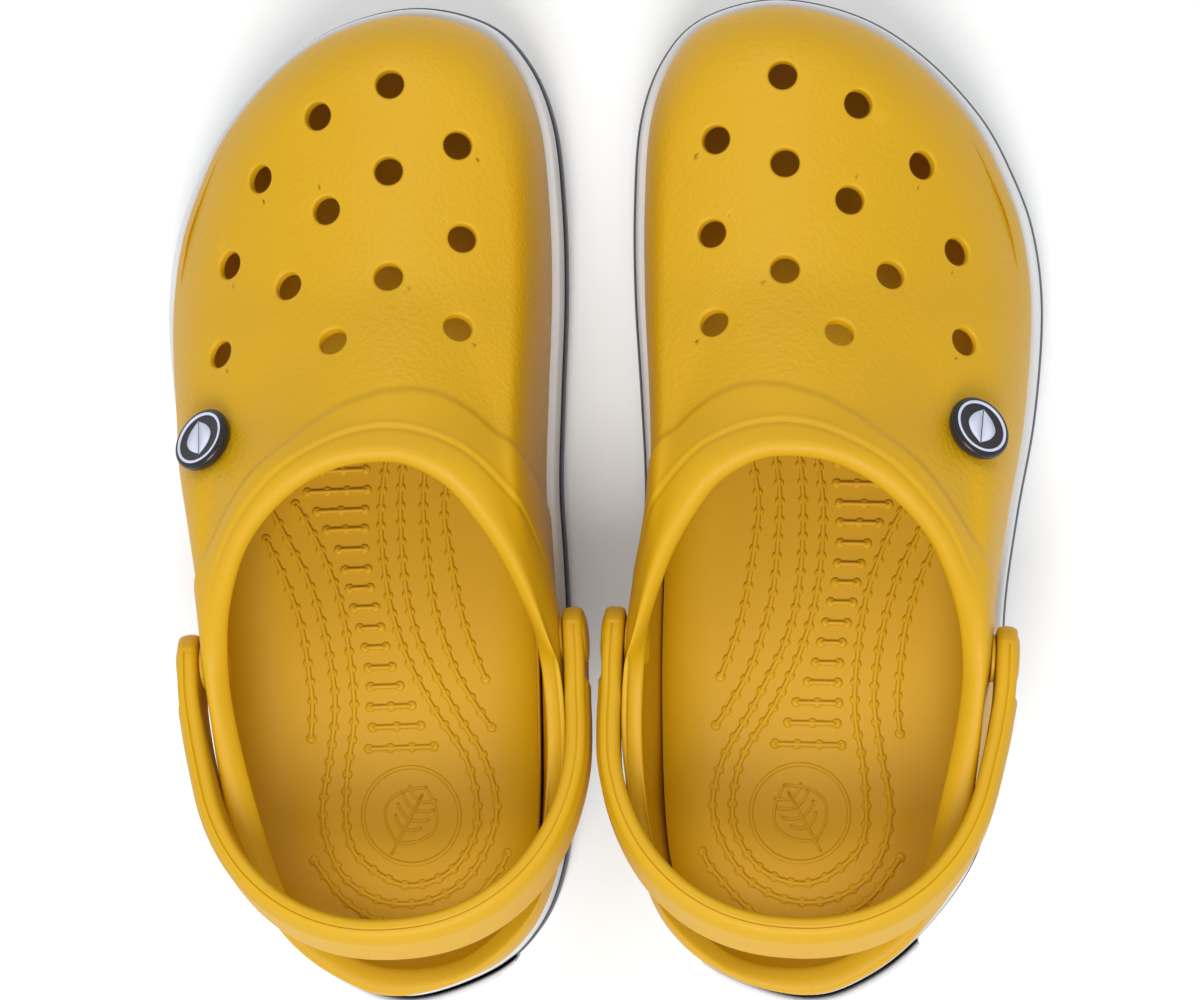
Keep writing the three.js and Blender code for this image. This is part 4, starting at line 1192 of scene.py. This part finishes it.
def makeStrap():
    tips = (1 - np.cos(np.linspace(0, math.pi / 2, 12))) * 0.02
    share = np.r_[tips[:-1], np.linspace(0.02, 0.06, 24)[:-1], np.linspace(0.06, 0.5, 100)]
    share = np.r_[share, 1 - share[-2::-1]]
    middle = strapLine(share)
    step = 0.002
    tangent = strapLine(np.minimum(share + step, 1)) - strapLine(np.maximum(share - step, 0))
    tangent /= np.linalg.norm(tangent, axis=1, keepdims=True)
    outward = np.c_[tangent[:, 1], -tangent[:, 0]]
    sections = []
    for spot, out in zip(middle, outward):
        profile = np.array(strapSection(float(-spot[1])))
        drift = strap["drift"] * smoothStep(strap["endRadius"], 2 * strap["arm"], -spot[1])
        lean = math.tan(math.radians(strap["backLean"])) * smoothStep(strap["arm"], strap["reach"], -spot[1])
        ahead = np.c_[np.zeros(len(profile)), profile[:, 1] * lean]
        sections.append(np.c_[spot + (drift, 0) + out * profile[:, :1] + ahead, profile[:, 1]])
    sections = np.array(sections)
    faces = tubeFaces(*sections.shape[:2])
    points = sections.reshape(-1, 3)
    tilt = math.radians(-strap["tilt"])
    y, z = points[:, 1].copy(), points[:, 2].copy()
    points[:, 1] = y * math.cos(tilt) - z * math.sin(tilt)
    points[:, 2] = y * math.sin(tilt) + z * math.cos(tilt)
    inner = axisInner[:2]
    plan = points[:, :1] * inner + points[:, 1:2] * np.array((-inner[1], inner[0]))
    points = np.c_[plan, points[:, 2]] + pivot
    bore, recess, rounding = rivet["stud"] + strap["spare"], rivet["cap"] + strap["spare"], strap["chamfer"]
    hole = [(0.01, strapLow - 3), (bore, strapLow - 3), (bore, strapHigh - rivet["capSink"]),
            (recess, strapHigh - rivet["capSink"]), (recess, strapHigh - rounding),
            (recess + 2 * rounding, strapHigh + rounding), (recess + 2 * rounding, strapHigh + 3),
            (0.01, strapHigh + 3)]
    cutters = [turnedSolid(hole, pivot, axisInner * side) for side in (-1, 1)]
    points, faces = cutBy(turnedOut(points, faces), cutters)
    addPiece("heel_strap", points, faces, smoothFoam, "strap_foam", ["heel_strap"], strap=True, crease=35)


makeStrap()


# Rivets and washers on the strap's axis, and the badge button.

def makeRivets():
    headHigh = wallSeat - rivet["headSink"] - clog["gap"]
    headLow = headHigh - rivet["headHeight"]
    capHigh = capLow + rivet["capHeight"]
    washerHigh = washerLow + rivet["washerThick"]
    head = [(0.01, headLow, 0), (rivet["head"] * 0.75, headLow, 1.2), (rivet["head"], headLow + 1, 0.6),
            (rivet["head"], headHigh, 0.3), (rivet["stud"], headHigh, 0),
            (rivet["stud"], capLow, 0.2), (0.01, capLow, 0)]
    cap = [(0.01, capLow, 0), (rivet["cap"], capLow, 0.1), (rivet["cap"], capLow + 0.7, 0.6),
           (rivet["cap"] * 0.78, capHigh, 0.8), (rivet["cap"] * 0.3, capHigh, 0.3),
           (rivet["cap"] * 0.24, capHigh - 0.35, 0.2), (0.01, capHigh - 0.35, 0)]
    ring = [(rivet["stud"] + 0.3, washerLow), (rivet["washer"] - 0.2, washerLow),
            (rivet["washer"], washerLow + 0.2), (rivet["washer"], washerHigh - 0.2),
            (rivet["washer"] - 0.2, washerHigh), (rivet["stud"] + 0.3, washerHigh)]
    for side, where in ((-1, "outer"), (1, "inner")):
        axis = axisInner * side
        addPiece(f"rivet_stud_{where}", *turnedSolid(roundedProfile(head), pivot, axis), rivetPlastic,
                 "rivet_plastic", [f"rivet_stud_{where}"])
        addPiece(f"rivet_cap_{where}", *turnedSolid(roundedProfile(cap), pivot, axis), rivetPlastic,
                 "rivet_plastic", [f"rivet_cap_{where}"])
        points, _ = turnedSolid(ring, pivot, axis)
        faces = joinLoops(len(ring), len(points) // len(ring), ring=True)
        addPiece(f"washer_{where}", points, faces, rivetPlastic, "washer_plastic", [f"washer_{where}"])


makeRivets()

badge = {
    "place": (-34.8, 7.3), "radius": 8.8, "height": 2.6, "lift": 0.7, "stem": 2,
    "clipRadius": 4.5, "clipThick": 1.2, "clipDepth": 7.2,
    "ring": 7.5, "ringWidth": 0.8, "emblemHeight": 0.35,
}


def makeBadge():
    rows, count, _ = skin.shape
    tree = surfaceTree(skin.reshape(-1, 3), joinLoops(rows, count))
    x, y = badge["place"][0] / 100 * clog["width"], badge["place"][1] / 100 * clog["length"]
    hit, normal, _, _ = tree.ray_cast(Vector((x, y, 200)), Vector((0, 0, -1)))
    centre, axis = np.array(hit), np.array(normal) * np.sign(normal.z)
    top = badge["lift"] + badge["height"]
    button = [(0.01, -badge["clipDepth"] - 2.2, 0), (badge["stem"], -badge["clipDepth"] - 2.2, 0.4),
              (badge["stem"], badge["lift"] - 1.6, 0), (badge["radius"] * 0.9, badge["lift"] - 1.2, 0.5),
              (badge["radius"], badge["lift"] + 0.6, 0.5), (badge["radius"], top - 0.7, 0.6),
              (badge["radius"] - 0.8, top, 0.5), (badge["ring"] + 0.15, top - 0.05, 0.1),
              (badge["ring"] - 0.1, top - 0.35, 0.1), (0.01, top - 0.35, 0)]
    addPiece("badge_button", *turnedSolid(roundedProfile(button), centre, axis, 72), blackPlastic,
             "badge_plastic", ["badge_button"])
    clip = [(badge["stem"] + 0.3, -badge["clipDepth"] - badge["clipThick"]),
            (badge["clipRadius"], -badge["clipDepth"] - badge["clipThick"]),
            (badge["clipRadius"], -badge["clipDepth"]), (badge["stem"] + 0.3, -badge["clipDepth"])]
    points, _ = turnedSolid(clip, centre, axis)
    addPiece("badge_clip", points, joinLoops(4, 48, ring=True), blackPlastic, "badge_plastic", ["badge_clip"])
    # the emblem: a ring and a plain leaf on the button's face
    u = np.cross((0, 1, 0), axis)
    u /= np.linalg.norm(u)
    v = np.cross(axis, u)
    face = top - 0.35

    def onFace(points, height):
        return centre + points[:, :1] * u + points[:, 1:2] * v + axis * (face + height)

    angles = np.linspace(0, 2 * math.pi, 72, endpoint=False)
    circle = np.c_[np.cos(angles), np.sin(angles)]
    outer, inner = badge["ring"], badge["ring"] - badge["ringWidth"]
    rise = badge["emblemHeight"]
    section = [(outer, -0.2), (outer, rise * 0.7), (outer - 0.15, rise),
               (inner + 0.15, rise), (inner, rise * 0.7), (inner, -0.2)]
    loops = [onFace(circle * radius, height) for radius, height in section]
    parts = [turnedOut(np.concatenate(loops), joinLoops(6, 72, ring=True))]
    rightEdge, leftEdge = leafLines(10.4, 8)[:2]
    lean = math.radians(25)
    for edge, hand in ((rightEdge, 1), (leftEdge, -1)):
        middleLine = np.c_[np.full(len(edge), hand * 0.22), edge[:, 1]]
        blade = np.concatenate([edge, middleLine[::-1]])
        blade = (blade[:, :1] * (math.cos(lean), math.sin(lean))
                 + blade[:, 1:] * (-math.sin(lean), math.cos(lean)))
        count = len(blade)
        low, high = onFace(blade, -0.2), onFace(blade, rise)
        half = len(edge)
        caps = [(i, i + 1, count - 2 - i, count - 1 - i) for i in range(half - 1)]
        faces = joinLoops(2, count) + [tuple(reversed(c)) for c in caps]
        faces += [tuple(i + count for i in c) for c in caps]
        parts.append(turnedOut(np.concatenate([low, high]), faces))
    addPiece("badge_emblem", *joined(parts), palePrint, "emblem_plastic", ["badge_emblem"])


makeBadge()


# Floor, light and camera.

floorLook = {"size": 6, "colour": "#fbfbfa"}
floorMaterial = mouldedMaterial(
    "white studio paper", floorLook["colour"], floorLook["colour"], 0.9, 3, 0.00001)
half = floorLook["size"] / 2
floor = meshObject("studio_floor", [(-half, -half, 0), (half, -half, 0), (half, half, 0), (-half, half, 0)],
                   [(0, 1, 2, 3)])
floor.data.materials.append(floorMaterial)


def areaLight(name, place, target, size, power, colour="#ffffff"):
    data = bpy.data.lights.new(name, "AREA")
    data.shape, data.size, data.energy, data.color = "DISK", size, power, linear(colour)[:3]
    light = bpy.data.objects.new(name, data)
    light.location = place
    light.rotation_euler = (Vector(target) - Vector(place)).to_track_quat("-Z", "Y").to_euler()
    bpy.context.scene.collection.objects.link(light)


areaLight("heel softbox", (0, -0.8, 1.4), (0, -0.03, 0.05), 0.8, 15)
areaLight("toe softbox", (-0.15, 0.9, 1.3), (0, 0.02, 0.05), 0.8, 4.5)
world = bpy.data.worlds.new("studio")
world.use_nodes = True
world.node_tree.nodes["Background"].inputs["Color"].default_value = linear("#ffffff")
world.node_tree.nodes["Background"].inputs["Strength"].default_value = 0.58
bpy.context.scene.world = world

shot = {"place": (62.2, 18.6, 900), "target": (-0.8, 1.1, 20), "lens": 94.63}
place, target = Vector(shot["place"]) / 1000, Vector(shot["target"]) / 1000
cameraData = bpy.data.cameras.new("camera")
cameraData.lens, cameraData.sensor_width, cameraData.sensor_fit = shot["lens"], 36, "HORIZONTAL"
cameraData.clip_start = 0.05
camera = bpy.data.objects.new("camera", cameraData)
forward = (target - place).normalized()
right = forward.cross(Vector((0, 1, 0))).normalized()
turn = Matrix((right, right.cross(forward), -forward)).transposed()
camera.matrix_world = Matrix.Translation(place) @ turn.to_4x4()
bpy.context.scene.collection.objects.link(camera)
bpy.context.scene.camera = camera
bpy.context.scene.view_settings.view_transform = "Standard"
